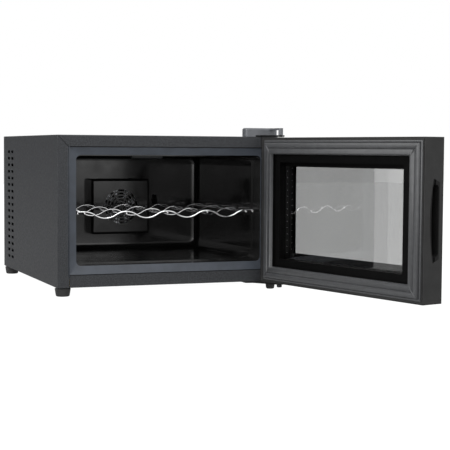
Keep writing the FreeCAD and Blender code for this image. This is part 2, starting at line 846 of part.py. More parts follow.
def fan_frame(size, thick, hole_pitch, y0):
    """Square fan housing: round duct, corner holes, three struts and the bearing."""
    half = size / 2
    body = rounded_prism(-half, half, unit_z - half, unit_z + half, 4.0, y0, y0 + thick)
    duct_radius = half - duct_wall
    body = body.cut(rod(V(0, y0 - 1, unit_z), BACK, duct_radius, thick + 2))
    hub_radius = size * hub_share
    strut_thick = min(2.5, thick * 0.25)
    hub = rod(V(0, y0 + thick - strut_thick, unit_z), BACK, hub_radius, strut_thick)
    struts = []
    for k in range(3):
        strut = box(hub_radius - 2, duct_radius + 1.0, y0 + thick - strut_thick, y0 + thick,
                    -2.0, 2.0)
        strut.rotate(V(0, 0, 0), BACK, 120 * k + 30)
        strut.translate(V(0, 0, unit_z))
        struts.append(strut)
    body = fuse([body, hub] + struts)
    holes = [rod(V(a * hole_pitch / 2, y0 - 1, unit_z + b * hole_pitch / 2), BACK,
                 fan_screw_radius + 0.5, thick + 2) for a in (-1, 1) for b in (-1, 1)]
    bearing = rod(V(0, y0, unit_z), BACK, fan_shaft_radius + pin_clearance, thick + 1)
    return body.cut(holes + [bearing])


def fan_rotor(size, thick, y0, blades):
    """Hub, shaft and curved, pitched blades of a fan."""
    duct_radius = size / 2 - duct_wall
    hub_radius = size * hub_share
    strut_thick = min(2.5, thick * 0.25)
    depth = thick - strut_thick - 2 * tip_clearance
    hub_y = y0 + tip_clearance
    hub = rod(V(0, hub_y, unit_z), BACK, hub_radius, depth)
    hub = fillet_where(hub, min(2.0, depth / 4), lambda bb: bb.YMax < hub_y + 0.01)
    shaft = rod(V(0, hub_y, unit_z), BACK, fan_shaft_radius, thick - tip_clearance - 0.5)
    pieces = [hub, shaft]
    chord = depth * 0.86 / math.sin(math.radians(blade_pitch))
    middle = hub_y + depth / 2
    tip = duct_radius - tip_clearance
    sweep = rod(V(0, hub_y, unit_z), BACK, tip, depth)
    for k in range(blades):
        blade = box(hub_radius - 2, tip + 2, -blade_thick / 2, blade_thick / 2,
                    -chord / 2, chord / 2)
        blade.rotate(V(0, 0, 0), RIGHT, 90 - 2 * blade_pitch)
        blade.translate(V(0, middle, 0))
        blade = blade.rotated(V(0, middle, 0), BACK, k * 360.0 / blades)
        blade.translate(V(0, 0, unit_z))
        pieces.append(blade.common(sweep))
    return fuse(pieces)


def fan_cover():
    """Cover over the cold fan: ringed grille in front, outlets above and below."""
    half_w = cold_cover_width / 2
    half_h = cold_cover_height / 2
    y0 = back_wall - cold_cover_depth
    body = box(-half_w, half_w, y0, back_wall, unit_z - half_h, unit_z + half_h)
    body = fillet_where(body, 6.0, lambda bb: bb.YMax < back_wall - 0.01 or bb.YLength > 1)
    wall = cold_cover_wall
    body = body.cut(box(-half_w + wall, half_w - wall, y0 + wall, back_wall + 1,
                        unit_z - half_h + wall, unit_z + half_h - wall))
    cuts = []
    for ring in range(1, grille_rings + 1):
        r = ring * cover_ring_pitch
        washer = rod(V(0, y0 - 1, unit_z), BACK, r + cover_ring_width / 2, wall + 2)
        washer = washer.cut(rod(V(0, y0 - 1, unit_z), BACK, r - cover_ring_width / 2, wall + 2))
        for angle in (0, 60, 120):
            bar = box(-half_w, half_w, y0 - 2, y0 + wall + 2, -cover_spoke / 2,
                      cover_spoke / 2)
            bar.rotate(V(0, 0, 0), BACK, angle)
            bar.translate(V(0, 0, unit_z))
            washer = washer.cut(bar)
        cuts += washer.Solids
    for side in (-1, 1):
        z = unit_z + side * half_h
        for k in range(-4, 5):
            cuts.append(box(k * 11 - 3.5, k * 11 + 3.5, y0 + 12, y0 + 26, z - 5, z + 5))
    bosses = []
    for x, z in cover_screw_places():
        bosses.append(rod(V(x, y0 + wall, z), BACK, cover_boss_radius,
                          cold_cover_depth - wall))
        cuts.append(rod(V(x, y0 - 1, z), BACK, cover_screw_radius + 0.1, cold_cover_depth + 2))
        cuts.append(rod(V(x, y0 - 1, z), BACK, 3.4, 3.2))
    return body.fuse(bosses).removeSplitter().cut(cuts)


def cover_screw_places():
    """Two screws at the middle of the fan cover's left and right sides."""
    reach = cold_cover_width / 2 - 2 * cover_boss_radius
    return [(-reach, unit_z), (reach, unit_z)]


def fan_cover_screws():
    """The cover's screws, sunk in its front."""
    y0 = back_wall - cold_cover_depth + cold_cover_wall
    length = cold_cover_depth - cold_cover_wall
    return [screw(x, y0, z, BACK, cover_screw_radius, length, 3.0, 2.0)
            for x, z in cover_screw_places()]


def hot_fan_screws():
    """Four screws through the fan's corners, between the fins."""
    reach = hot_fan_holes / 2
    length = hot_fan_thick + fan_gap + 10
    head_y = hot_fan_y + hot_fan_thick
    return [screw(a * reach, head_y, unit_z + b * reach, V(0, -1, 0), fan_screw_radius,
                  length, 3.0, 2.2) for a in (-1, 1) for b in (-1, 1)]


# ---- mains side --------------------------------------------------------------------

def power_inlet():
    """Appliance inlet: flange outside the back panel and a keyed socket."""
    y1 = rear + inlet_flange
    flange = rounded_prism(inlet_x - inlet_flange_width / 2, inlet_x + inlet_flange_width / 2,
                           inlet_z - inlet_flange_tall / 2, inlet_z + inlet_flange_tall / 2,
                           3.0, rear, y1)
    body = rounded_prism(inlet_x - inlet_width / 2, inlet_x + inlet_width / 2,
                         inlet_z - inlet_tall / 2, inlet_z + inlet_tall / 2, 2.0,
                         rear - inlet_depth, rear)
    socket = box(inlet_x - socket_width / 2, inlet_x + socket_width / 2, y1 - socket_depth,
                 y1 + 1, inlet_z - socket_tall / 2, inlet_z + socket_tall / 2)
    top = inlet_z + socket_tall / 2
    socket_back = y1 - socket_depth

    def keyed(bb):
        along = bb.YLength > 1
        return along and bb.ZMin > top - 0.01

    socket = socket.makeChamfer(inlet_key, [e for e in socket.Edges if keyed(e.BoundBox)])
    holes = [rod(V(inlet_x + s * inlet_screw_offset, rear - 1, inlet_z), BACK,
                 panel_screw_radius + 0.1, inlet_flange + 2) for s in (-1, 1)]
    pin_holes = [box(x - 2.0, x + 2.0, rear - inlet_depth - 1, socket_back + 1,
                     z - 1.0, z + 1.0) for x, z in inlet_pin_places()]
    return fuse([flange, body]).cut([socket] + holes + pin_holes)


def inlet_pin_places():
    """Two pins low in the socket and the earth pin above them."""
    low = inlet_z - inlet_pin_low
    return [(inlet_x - inlet_pin_spread, low), (inlet_x + inlet_pin_spread, low),
            (inlet_x, inlet_z + inlet_pin_high)]


def inlet_pins():
    """Flat contact pins that end short of the flange."""
    y0 = rear - inlet_depth - 6
    y1 = rear + inlet_flange - 2.0
    return [box(x - 2.0, x + 2.0, y0, y1, z - 1.0, z + 1.0) for x, z in inlet_pin_places()]


def inlet_screws():
    """Screws that hold the inlet's flange."""
    return [screw(inlet_x + s * inlet_screw_offset, rear + inlet_flange, inlet_z, V(0, -1, 0),
                  panel_screw_radius, 8.0, 2.8, 1.8) for s in (-1, 1)]


def panel_screws():
    """Screws around the back panel's edge."""
    return [screw(x, rear, z, V(0, -1, 0), panel_screw_radius, 6.0, 3.2, 1.8)
            for x, z in panel_screw_places]


def standoff_places():
    """Four corners of the power supply board."""
    return [(x, z) for x in (board_left + board_inset, board_right - board_inset)
            for z in (board_low + board_inset, board_high - board_inset)]


def board_standoffs():
    """Plastic pillars that hold the board off the bulkhead."""
    pillars = []
    for x, z in standoff_places():
        pillar = rod(V(x, bulkhead_rear, z), BACK, standoff_radius, board_standoff)
        stud = rod(V(x, bulkhead_rear, z), BACK, standoff_screw_radius,
                   board_standoff + board_thick + 1.5)
        pillars.append(fuse([pillar, stud]))
    return pillars


def supply_board():
    """Circuit board of the power supply."""
    y0 = bulkhead_rear + board_standoff
    board = box(board_left, board_right, y0, y0 + board_thick, board_low, board_high)
    holes = [rod(V(x, y0 - 1, z), BACK, standoff_screw_radius + 0.1, 5)
             for x, z in standoff_places()]
    return board.cut(holes)


def supply_transformer():
    """Iron core on three legs, with the winding round the middle one."""
    y0 = bulkhead_rear + board_standoff + board_thick
    y1 = y0 + core_depth
    x0 = board_left + core_left
    z0 = board_low + core_low
    core = box(x0, x0 + core_width, y0, y1, z0, z0 + core_height)
    winding = box(x0 + core_leg, x0 + core_width - core_leg, y0 + 3, y1 - 3,
                  z0 - 2, z0 + core_height + 2)
    return fuse([core, winding])


def supply_capacitors():
    """Upright round capacitors of three sizes."""
    y0 = bulkhead_rear + board_standoff + board_thick
    places = ((23, 95, 9, 32), (48, 100, 9, 32), (78, 90, 6, 22), (93, 35, 5, 18),
              (93, 55, 5, 18))
    cans = []
    for across, up, radius, height in places:
        can = rod(V(board_left + across, y0, board_low + up), BACK, radius, height)
        cans.append(fillet_where(can, 1.2, lambda bb: bb.YMin > y0 + 1))
    return cans


# ---- shelf ------------------------------------------------------------------------

def wave_wire(y):
    """One waved wire: round arcs crest to dip, with a straight run at each end."""
    quarter = wave_pitch / 4
    half_height = wave_height / 2
    angle = 2 * math.atan(half_height / quarter)
    radius = quarter / math.sin(angle)
    edges = [Part.LineSegment(V(-shelf_half, y, crest), V(wave_start, y, crest)).toShape()]
    sag = radius * (1 - math.cos(angle / 2))
    reach = radius * math.sin(angle / 2)
    dip = crest - wave_height
    for k in range(wave_crests - 1):
        x = wave_start + k * wave_pitch
        middle = crest - half_height
        trough = x + wave_pitch / 2
        following = x + wave_pitch
        edges.append(Part.Arc(V(x, y, crest), V(x + reach, y, crest - sag),
                              V(x + quarter, y, middle)).toShape())
        edges.append(Part.Arc(V(x + quarter, y, middle), V(trough, y, dip),
                              V(following - quarter, y, middle)).toShape())
        edges.append(Part.Arc(V(following - quarter, y, middle),
                              V(following - reach, y, crest - sag),
                              V(following, y, crest)).toShape())
    edges.append(Part.LineSegment(V(-wave_start, y, crest), V(shelf_half, y, crest)).toShape())
    path = Part.Wire(edges)
    circle = Part.Wire([Part.Circle(V(-shelf_half, y, crest), RIGHT, wire_radius).toShape()])
    return path.makePipeShell([circle], True, True)


def shelf_rods():
    """Straight rods, front to back: one under each crest and one at each side."""
    places = [wave_start + k * wave_pitch for k in range(wave_crests)] + [-shelf_half, shelf_half]
    start = first_wire - rod_over
    rods = []
    for x in places:
        bar = rod(V(x, start, rod_level), BACK, rod_radius, last_wire + rod_behind - start)
        rods.append(fillet_where(bar, rod_radius * 0.6, lambda bb: bb.YLength < 0.01))
    return rods


# ---- hinges ------------------------------------------------------------------------

def hinge_plate(left, arm_left, back_reach, z0, screw_places):
    """Flat bracket: a foot on the casing and an arm that rounds the hinge axis."""
    right = axis_x + arm_radius
    outline = Part.makePolygon([
        V(left, front + back_reach, z0),
        V(left, front + 2.0, z0),
        V(arm_left, front - 1.0, z0),
        V(axis_x - arm_radius, axis_y, z0),
        V(right, axis_y, z0),
        V(right, front + back_reach, z0),
        V(left, front + back_reach, z0),
    ])
    plate = Part.Face(outline).extrude(V(0, 0, plate_thickness))
    plate = fuse([plate, rod(V(axis_x, axis_y, z0), UP, arm_radius, plate_thickness)])
    cuts = [rod(V(axis_x, axis_y, z0 - 1), UP, pin_radius, plate_thickness + 2)]
    for x, y in screw_places:
        cuts.append(rod(V(x, y, z0 - 1), UP, hinge_screw_radius, plate_thickness + 2))
    return plate.cut(cuts)


def top_hinge_plate():
    """Upper bracket, on the roof."""
    return hinge_plate(top_plate_left, top_arm_left, top_plate_back, roof, top_screw_places)


def lower_hinge_plate():
    """Lower bracket, under the base; the slim foot's screw passes through it."""
    z0 = base - plate_thickness
    plate = hinge_plate(low_plate_left, low_arm_left, low_plate_back, z0, lower_screw_places)
    return plate.cut(rod(V(slim_foot_x, slim_foot_y, z0 - 1), UP,
                         foot_screw_radius + 0.1, plate_thickness + 2))


def top_hinge_pin():
    """Pin from the upper bracket down into the door."""
    z0 = door_high - bush_length + 1.0
    z1 = roof + plate_thickness + 7.0
    pin = rod(V(axis_x, axis_y, z0), UP, pin_radius, z1 - z0)
    return fillet_where(pin, 0.8, lambda bb: bb.ZLength < 0.01)


def lower_hinge_pin():
    """Headed pin from below the lower bracket up into the door."""
    z0 = base - plate_thickness - pin_head_height
    head = rod(V(axis_x, axis_y, z0), UP, pin_head_radius, pin_head_height)
    head = fillet_where(head, 1.5, lambda bb: bb.ZMax < z0 + 0.01)
    z1 = door_low + bush_length - 1.0
    return fuse([head, rod(V(axis_x, axis_y, z0), UP, pin_radius, z1 - z0)])


def top_hinge_cover():
    """Plastic cap over the upper bracket, with a short arm and a cap on the pin."""
    z1 = roof + cover_height
    y1 = front + cover_depth
    shell = box(cover_left, cover_right, front, y1, roof, z1)
    shell = fillet_where(shell, cover_round, lambda bb: bb.ZMax > roof + 1)
    wall = cover_wall
    inside = box(cover_left + wall, cover_right - wall, front + wall, y1 - wall,
                 roof - 1, z1 - wall)
    arm_gate = box(top_arm_left - seam, cover_right - wall, front - 1, front + wall + 1, roof - 1,
                   roof + plate_thickness + seam)
    shell = shell.cut([inside, arm_gate])
    bed = hinge_plate(top_plate_left - seam, top_arm_left - seam, top_plate_back + seam,
                      roof, [])
    shell = shell.cut(bed)
    slab = box(axis_x - cap_radius, axis_x + cap_radius, axis_y, front + cover_round + 1.5,
               z1 - cap_slab, z1 - 0.4)
    low = roof + plate_thickness + seam
    cap = rod(V(axis_x, axis_y, low), UP, cap_radius, z1 - 0.4 - low)
    body = fuse([shell, slab, cap])
    bore = rod(V(axis_x, axis_y, low - 1), UP, pin_radius + pin_clear, 9.0)
    return body.cut(bore)


def top_hinge_screws():
    """Screws that hold the upper bracket, under the cap."""
    return [screw(x, y, roof + plate_thickness, V(0, 0, -1), hinge_screw_radius, 14.0,
                  hinge_screw_head, 2.4) for x, y in top_screw_places]


def lower_hinge_screws():
    """Screws that hold the lower bracket, from below."""
    return [screw(x, y, base - plate_thickness, UP, hinge_screw_radius, 12.0,
                  hinge_screw_head, 2.4)
            for x, y in lower_screw_places]


def roof_screw_holes():
    """Holes in the roof for the upper bracket's screws."""
    return [rod(V(x, y, roof - 2 * sheet), UP, hinge_screw_radius, 4 * sheet)
            for x, y in top_screw_places]


def fold_screw_holes():
    """Holes in the floor fold for the lower bracket's screws."""
    return [rod(V(x, y, base - 1), UP, hinge_screw_radius, 4 * sheet)
            for x, y in lower_screw_places]


def hinge_bush(up):
    """Flanged bush in the door for one hinge pin."""
    bore_radius = pin_radius + pin_clearance
    if up:
        body = rod(V(axis_x, axis_y, door_high - bush_length), UP, bush_radius, bush_length)
        flange = rod(V(axis_x, axis_y, door_high), UP, bush_flange_radius, top_flange_height)
        start = door_high - bush_length
    else:
        drop = door_bottom - 0.4
        body = rod(V(axis_x, axis_y, door_low), UP, bush_radius, bush_length)
        flange = rod(V(axis_x, axis_y, door_low - drop), UP, bush_flange_radius, drop)
        start = door_low - drop
    bore = rod(V(axis_x, axis_y, start - 1), UP, bore_radius, bush_length + 8)
    return fuse([body, flange]).cut(bore)


# ---- door ---------------------------------------------------------------------------

def boss_block(z0, z1):
    """Solid corner of the door that holds a hinge bush."""
    return box(half_width - boss_reach, half_width - door_wall / 2, glass_back, inner_face - boss_depth,
               z0, z1)


def seal_window(inset, y0, y1):
    """A block inside the seal's outline, as much smaller as the inset."""
    return box(seal_left + inset, seal_right - inset, y0, y1, seal_low + inset, seal_high - inset)


def shadow_groove():
    """Shallow groove round the inner face, where the door's two mouldings meet."""
    near = groove_inset
    far = groove_inset + groove_width
    y0 = inner_face - groove_depth
    y1 = inner_face + 1
    ring = box(-half_width + near, half_width - near, y0, y1, door_low + near, door_high - near)
    return ring.cut(box(-half_width + far, half_width - far, y0 - 1, y1 + 1,
                        door_low + far, door_high - far))


def door_frame():
    """Hollow outer frame: rim, inner face and the two hinge corners."""
    rim = box(-half_width, half_width, outer_face, inner_face, door_low, door_high)
    tol = 0.01

    def outer_edges(bb):
        return bb.YLength < tol or bb.YLength > 1

    rim = fillet_where(rim, 1.0, outer_edges)
    wall = door_wall
    hollow = box(-half_width + wall, half_width - wall, outer_face - 1, inner_face - wall,
                 door_low + wall, door_high - wall)
    window = seal_window(window_inset, outer_face - 1, inner_face + 1)
    bosses = [boss_block(door_low + wall / 2, door_low + boss_length),
              boss_block(door_high - boss_length, door_high - wall / 2)]
    bore_low = rod(V(axis_x, axis_y, door_low - 1), UP, bush_radius, bush_length + 1)
    bore_high = rod(V(axis_x, axis_y, door_high - bush_length), UP, bush_radius, bush_length + 1)
    body = rim.cut([hollow, window]).fuse(bosses).removeSplitter()
    return body.cut([bore_low, bore_high, pocket_outline(pocket_clearance), shadow_groove()])


def pocket_outline(grow):
    """The crescent plate's outline, cut into the free edge to its body's depth."""
    free = -half_width
    half = scoop_length / 2 + grow
    near = inner_face - scoop_near + grow
    far = inner_face - scoop_far - grow
    tip = inner_face - scoop_near - scoop_bow + grow
    side = Part.Arc(V(free - 1, tip, door_middle - half), V(free - 1, near, door_middle),
                    V(free - 1, tip, door_middle + half)).toShape()
    short = half - scoop_taper
    corners = [V(free - 1, tip, door_middle + half), V(free - 1, far, door_middle + short),
               V(free - 1, far, door_middle - short), V(free - 1, tip, door_middle - half)]
    lines = [Part.LineSegment(corners[i], corners[i + 1]).toShape() for i in range(3)]
    return Part.Face(Part.Wire([side] + lines)).extrude(V(scoop_body + 1 + grow, 0, 0))


def handle_pocket():
    """Finger pull in the free edge: a scooped plate with a slot and a cup behind it."""
    free = -half_width
    plate = pocket_outline(0.0).common(box(free, free + scoop_body, outer_face, inner_face,
                                           door_low, door_high))
    mid = slot_middle
    width = slot_far - slot_near

    def pill(radius, length, x0, x1):
        reach = length / 2 - radius
        body = box(x0, x1, mid - radius, mid + radius, door_middle - reach, door_middle + reach)
        ends = [rod(V(x0, mid, door_middle + s * reach), RIGHT, radius, x1 - x0)
                for s in (-1, 1)]
        return fuse([body] + ends)

    cup = pill(width / 2 + pocket_wall, slot_length + 2 * pocket_wall, free + scoop_body - 1,
               free + pocket_depth + pocket_wall)
    body = fuse([plate, cup])
    body = body.cut(pill(width / 2, slot_length, free - 1, free + pocket_depth))
    slope = math.radians(scoop_angle)
    circle = ((scoop_length / 2) ** 2 + scoop_bow ** 2) / (2 * scoop_bow)
    ball_radius = circle / math.sin(slope)
    centre = V(free - ball_radius * math.cos(slope),
               inner_face - scoop_near - scoop_rim - circle, door_middle)
    ball = Part.makeSphere(ball_radius, centre)
    limit = box(free - 1, free + scoop_body - 1.5, mid, inner_face, door_low, door_high)
    return body.cut(ball.common(limit))


def door_insulation():
    """Foam ring inside the hollow frame."""
    gap = foam_gap
    wall = door_wall + gap
    side = sight_side - spacer_width - gap
    end = sight_end - spacer_width - gap
    block = box(-half_width + wall, half_width - wall, glass_back + gap, inner_face - wall,
                door_low + wall, door_high - wall)
    window = box(-half_width + side, half_width - side, outer_face, inner_face,
                 door_low + end, door_high - end)
    relief = seal_window(window_inset - gap, inner_face - pane_depth - glass_inner - gap, inner_face)
    reach = (slot_far - slot_near) / 2 + pocket_wall + gap
    long_reach = slot_length / 2 + pocket_wall + gap
    cup = box(-half_width, -half_width + pocket_depth + pocket_wall + gap,
              slot_middle - reach, slot_middle + reach, door_middle - long_reach, door_middle + long_reach)
    corners = [boss_block(door_low, door_low + boss_length + gap),
               boss_block(door_high - boss_length - gap, door_high)]
    corners = [c.fuse(box(half_width - boss_reach - gap, half_width, glass_back,
                          inner_face - boss_depth + gap, c.BoundBox.ZMin, c.BoundBox.ZMax))
               for c in corners]
    board = box(-control_width / 2 - gap, control_width / 2 + gap, glass_back,
                glass_back + control_depth, control_z - control_tall / 2 - gap,
                control_z + control_tall / 2 + gap)
    return block.cut([window, relief, cup, pocket_outline(gap), board] + corners)


def door_inner_frame():
    """Black moulding inside the gasket: rim, sunk border and a sleeve to the pane."""
    y = inner_face
    inset = window_inset + foam_gap
    tray = seal_window(inset, y - border_depth - border_wall, y - rim_set)
    sunk = seal_window(gasket_width, y - border_depth, y)
    left = -half_width + sight_side
    right = half_width - sight_side
    low = door_low + sight_end
    high = door_high - sight_end
    sleeve = box(left - border_wall, right + border_wall, y - pane_depth, y - border_depth,
                 low - border_wall, high + border_wall)
    opening = box(left, right, y - pane_depth - 1, y, low, high)
    return tray.cut(sunk).fuse(sleeve).removeSplitter().cut(opening)


def gasket():
    """Magnetic seal: a mitred frame with three ridges and a groove for the magnets."""
    y = inner_face
    w = gasket_width
    p = gasket_proud
    groove = (w - magnet_width) / 2
    back = magnet_thick + foam_gap
    profile = [
        (0.0, y),
        (0.0, y + 1.6),
        (2.0, y + p - 2.0),
        (5.0, y + p - 1.4),
        (7.0, y + p - 3.4),
        (9.0, y + p - 3.0),
        (11.5, y + p - 0.4),
        (15.0, y + p - 0.2),
        (17.0, y + p - 2.4),
        (19.0, y + p - 2.2),
        (21.5, y + p),
        (24.5, y + p - 0.4),
        (w - 0.4, y + 2.4),
        (w, y + 0.6),
        (w, y),
        (w - groove, y),
        (w - groove, y + back),
        (groove, y + back),
        (groove, y),
    ]
    return mitred_ring(seal_left, seal_right, seal_low, seal_high, profile)


def magnet_strips():
    """Four flat magnets in the seal's groove."""
    centre = gasket_width / 2
    near = centre - magnet_width / 2 + foam_gap
    far = centre + magnet_width / 2 - foam_gap
    y0 = inner_face
    y1 = inner_face + magnet_thick
    left = seal_left
    right = seal_right
    low = seal_low
    high = seal_high
    return [
        box(left + near, left + far, y0, y1, low + far + 1, high - far - 1),
        box(right - far, right - near, y0, y1, low + far + 1, high - far - 1),
        box(left + near, right - near, y0, y1, low + near, low + far),
        box(left + near, right - near, y0, y1, high - far, high - near),
    ]


def pane(side, end, y0, y1, radius):
    """A sheet of glass inside the door's outline."""
    return rounded_prism(-half_width + side, half_width - side, door_low + end, door_high - end,
                         radius, y0, y1)


def outer_glass():
    """Front pane, flush in the rim."""
    edge = door_wall + glass_clearance
    return pane(edge, edge, outer_face, glass_back, pane_radius)


def inner_glass():
    """Inner pane, held between the moulding and the spacer bar."""
    side = sight_side - spacer_width
    end = sight_end - spacer_width
    y1 = inner_face - pane_depth
    return pane(side, end, y1 - glass_inner, y1, pane_radius / 2)


def spacer_bar():
    """Perforated bar that keeps the panes apart."""
    y0 = glass_back
    y1 = inner_face - pane_depth - glass_inner
    side = sight_side - spacer_width
    end = sight_end - spacer_width
    ring = mitred_ring(-half_width + side, half_width - side, door_low + end, door_high - end,
                       [(0.0, y0), (spacer_width, y0), (spacer_width, y1), (0.0, y1)])
    return ring


def control_board():
    """Touch panel's circuit board, behind the front glass above the window."""
    half = control_width / 2
    reach = control_tall / 2
    y0 = glass_back + control_depth - board_thin - foam_gap
    board = box(-half, half, y0, y0 + board_thin, control_z - reach, control_z + reach)
    springs = [rod(V(x, glass_back, control_z), BACK, touch_spring_radius, y0 - glass_back)
               for x in touch_places]
    return fuse([board] + springs)


def display_module():
    """Numeric display between the board and the glass."""
    half = display_wide / 2
    reach = display_tall / 2
    y1 = glass_back + control_depth - board_thin - foam_gap
    body = box(-half, half, glass_back, y1, control_z - reach, control_z + reach)
    return fillet_where(body, 0.8, lambda bb: bb.YLength > 1)


# ---- build ---------------------------------------------------------------------------

os.makedirs(parts_folder, exist_ok=True)

wrap = outer_wrap().cut(roof_screw_holes() + fold_screw_holes())
save("outer_wrap", wrap)
save("base_pan", base_pan())
save("back_panel", back_panel())
save("back_panel_screws", panel_screws())
for name, x, y in foot_places:
    save(name, foot(x, y, base, foot_radius))
save("front_right_foot", foot(slim_foot_x, slim_foot_y, base - plate_thickness, slim_foot_radius))
save("foot_screws", foot_screws())

save("trim_frame", trim_frame())
save("liner_collar", liner_collar())
save("inner_liner", inner_liner())
save("shelf_rails", shelf_rails())
save("insulation_foam", insulation_foam())
save("foam_bulkhead", foam_bulkhead())
save("lamp_lens", lamp_lens())
save("lamp_board", lamp_board())
save("temperature_sensor", temperature_sensor())

save("cold_sink", cold_sink())
save("cold_block", cold_block())
save("thermoelectric_module", thermoelectric_module())
save("hot_sink", hot_sink())
save("clamp_screws", clamp_screws())
save("cold_fan_frame", fan_frame(cold_fan_size, cold_fan_thick, cold_fan_holes, cold_fan_y))
save("cold_fan_rotor", fan_rotor(cold_fan_size, cold_fan_thick, cold_fan_y,
                                 cold_blades))
save("hot_fan_frame", fan_frame(hot_fan_size, hot_fan_thick, hot_fan_holes, hot_fan_y))
save("hot_fan_rotor", fan_rotor(hot_fan_size, hot_fan_thick, hot_fan_y, hot_blades))
save("hot_fan_screws", hot_fan_screws())
save("fan_cover", fan_cover())
save("fan_cover_screws", fan_cover_screws())

save("power_inlet", power_inlet())
save("inlet_pins", inlet_pins())
save("inlet_screws", inlet_screws())
save("supply_board", supply_board())
save("board_standoffs", board_standoffs())
save("supply_transformer", supply_transformer())
save("supply_capacitors", supply_capacitors())

save("shelf_waves", [wave_wire(first_wire + k * wire_spacing) for k in range(wave_wires)])
save("shelf_rods", shelf_rods())

save("top_hinge_plate", top_hinge_plate())
save("top_hinge_pin", top_hinge_pin())
save("top_hinge_cover", top_hinge_cover())
save("top_hinge_screws", top_hinge_screws())
save("lower_hinge_plate", lower_hinge_plate())
save("lower_hinge_pin", lower_hinge_pin())
save("lower_hinge_screws", lower_hinge_screws())

save("door_frame", swing(door_frame()))
save("door_insulation", swing(door_insulation()))
save("door_inner_frame", swing(door_inner_frame()))
save("gasket", swing(gasket()))
save("magnet_strips", swing(Part.makeCompound(magnet_strips())))
save("outer_glass", swing(outer_glass()))
save("inner_glass", swing(inner_glass()))
save("spacer_bar", swing(spacer_bar()))
save("handle_pocket", swing(handle_pocket()))
save("top_hinge_bush", swing(hinge_bush(True)))
save("lower_hinge_bush", swing(hinge_bush(False)))
save("control_board", swing(control_board()))
save("display_module", swing(display_module()))
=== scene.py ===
import json
import math

import bmesh
import bpy
from mathutils import Matrix, Vector


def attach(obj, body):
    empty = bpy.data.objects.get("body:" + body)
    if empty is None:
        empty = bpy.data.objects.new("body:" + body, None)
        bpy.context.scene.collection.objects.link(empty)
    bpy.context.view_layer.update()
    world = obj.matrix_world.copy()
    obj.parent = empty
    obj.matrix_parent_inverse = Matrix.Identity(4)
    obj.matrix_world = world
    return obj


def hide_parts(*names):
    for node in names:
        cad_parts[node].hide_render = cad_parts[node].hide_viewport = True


# Countertop wine cooler: black powder-coated cabinet, waved wire shelf and a glass door
# that stands open. Metres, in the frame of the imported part.

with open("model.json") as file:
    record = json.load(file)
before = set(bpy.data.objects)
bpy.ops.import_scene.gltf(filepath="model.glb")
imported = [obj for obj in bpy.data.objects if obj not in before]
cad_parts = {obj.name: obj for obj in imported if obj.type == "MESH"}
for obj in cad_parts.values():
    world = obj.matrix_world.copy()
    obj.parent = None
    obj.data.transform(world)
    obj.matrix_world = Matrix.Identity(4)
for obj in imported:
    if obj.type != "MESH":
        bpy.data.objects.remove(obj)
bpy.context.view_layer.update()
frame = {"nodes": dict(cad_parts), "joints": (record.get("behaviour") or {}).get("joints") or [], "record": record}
MM = 0.001

# ---- the door's place -------------------------------------------------------------

hinge = next(j for j in frame["joints"] if j["name"] == "door_hinge")
hinge_point = Vector((hinge["pos_m"][0], hinge["pos_m"][1], 0.0))
open_angle = -math.radians(hinge["range_deg"][0])
opened = (Matrix.Translation(hinge_point) @ Matrix.Rotation(open_angle, 4, "Z")
          @ Matrix.Translation(-hinge_point))
shut = opened.inverted()


def box_of(part_name, turn=Matrix()):
    """Lowest and highest corner of a part, turned first if a turn is given."""
    points = [turn @ v.co for v in frame["nodes"][part_name].data.vertices]
    low = Vector([min(p[i] for p in points) for i in range(3)])
    high = Vector([max(p[i] for p in points) for i in range(3)])
    return low, high


def shut_box(part_name):
    """Lowest and highest corner of a door part, with the door shut."""
    return box_of(part_name, shut)


# ---- finishes ------------------------------------------------------------------------

def finish(name, colour, roughness, metallic=0.0, specular=0.5):
    """A new finish; its constants sit on the shader's own sockets."""
    material = bpy.data.materials.new(name)
    material.use_nodes = True
    shader = material.node_tree.nodes["Principled BSDF"]
    shader.inputs["Base Color"].default_value = (*colour, 1.0)
    shader.inputs["Roughness"].default_value = roughness
    shader.inputs["Metallic"].default_value = metallic
    shader.inputs["Specular IOR Level"].default_value = specular
    return material


def node(material, kind):
    """A new shader node."""
    return material.node_tree.nodes.new(kind)


def link(material, output, target):
    """Join two sockets."""
    material.node_tree.links.new(output, target)


def shader_of(material):
    """The principled shader of a finish."""
    return material.node_tree.nodes["Principled BSDF"]


def place(material, stretch=(1.0, 1.0, 1.0)):
    """Object coordinates, stretched per axis."""
    coordinates = node(material, "ShaderNodeTexCoord")
    mapping = node(material, "ShaderNodeMapping")
    mapping.inputs["Scale"].default_value = stretch
    link(material, coordinates.outputs["Object"], mapping.inputs["Vector"])
    return mapping.outputs["Vector"]


def noise(material, scale, detail=2.0, stretch=(1.0, 1.0, 1.0)):
    """A noise pattern with about so many cells in a metre."""
    texture = node(material, "ShaderNodeTexNoise")
    texture.inputs["Scale"].default_value = scale
    texture.inputs["Detail"].default_value = detail
    link(material, place(material, stretch), texture.inputs["Vector"])
    return texture.outputs["Fac"]


def spread(material, source, low, high, start=0.3, end=0.7):
    """Map a pattern's middle range onto new limits."""
    ramp = node(material, "ShaderNodeMapRange")
    ramp.inputs["From Min"].default_value = start
    ramp.inputs["From Max"].default_value = end
    ramp.inputs["To Min"].default_value = low
    ramp.inputs["To Max"].default_value = high
    link(material, source, ramp.inputs["Value"])
    return ramp.outputs["Result"]


def mottle(material, source, dark, light, start=0.35, end=0.65):
    """Colour that wanders between two near tones along a pattern."""
    ramp = node(material, "ShaderNodeValToRGB")
    ramp.color_ramp.elements[0].position = start
    ramp.color_ramp.elements[0].color = (*dark, 1.0)
    ramp.color_ramp.elements[1].position = end
    ramp.color_ramp.elements[1].color = (*light, 1.0)
    link(material, source, ramp.inputs["Fac"])
    link(material, ramp.outputs["Color"], shader_of(material).inputs["Base Color"])


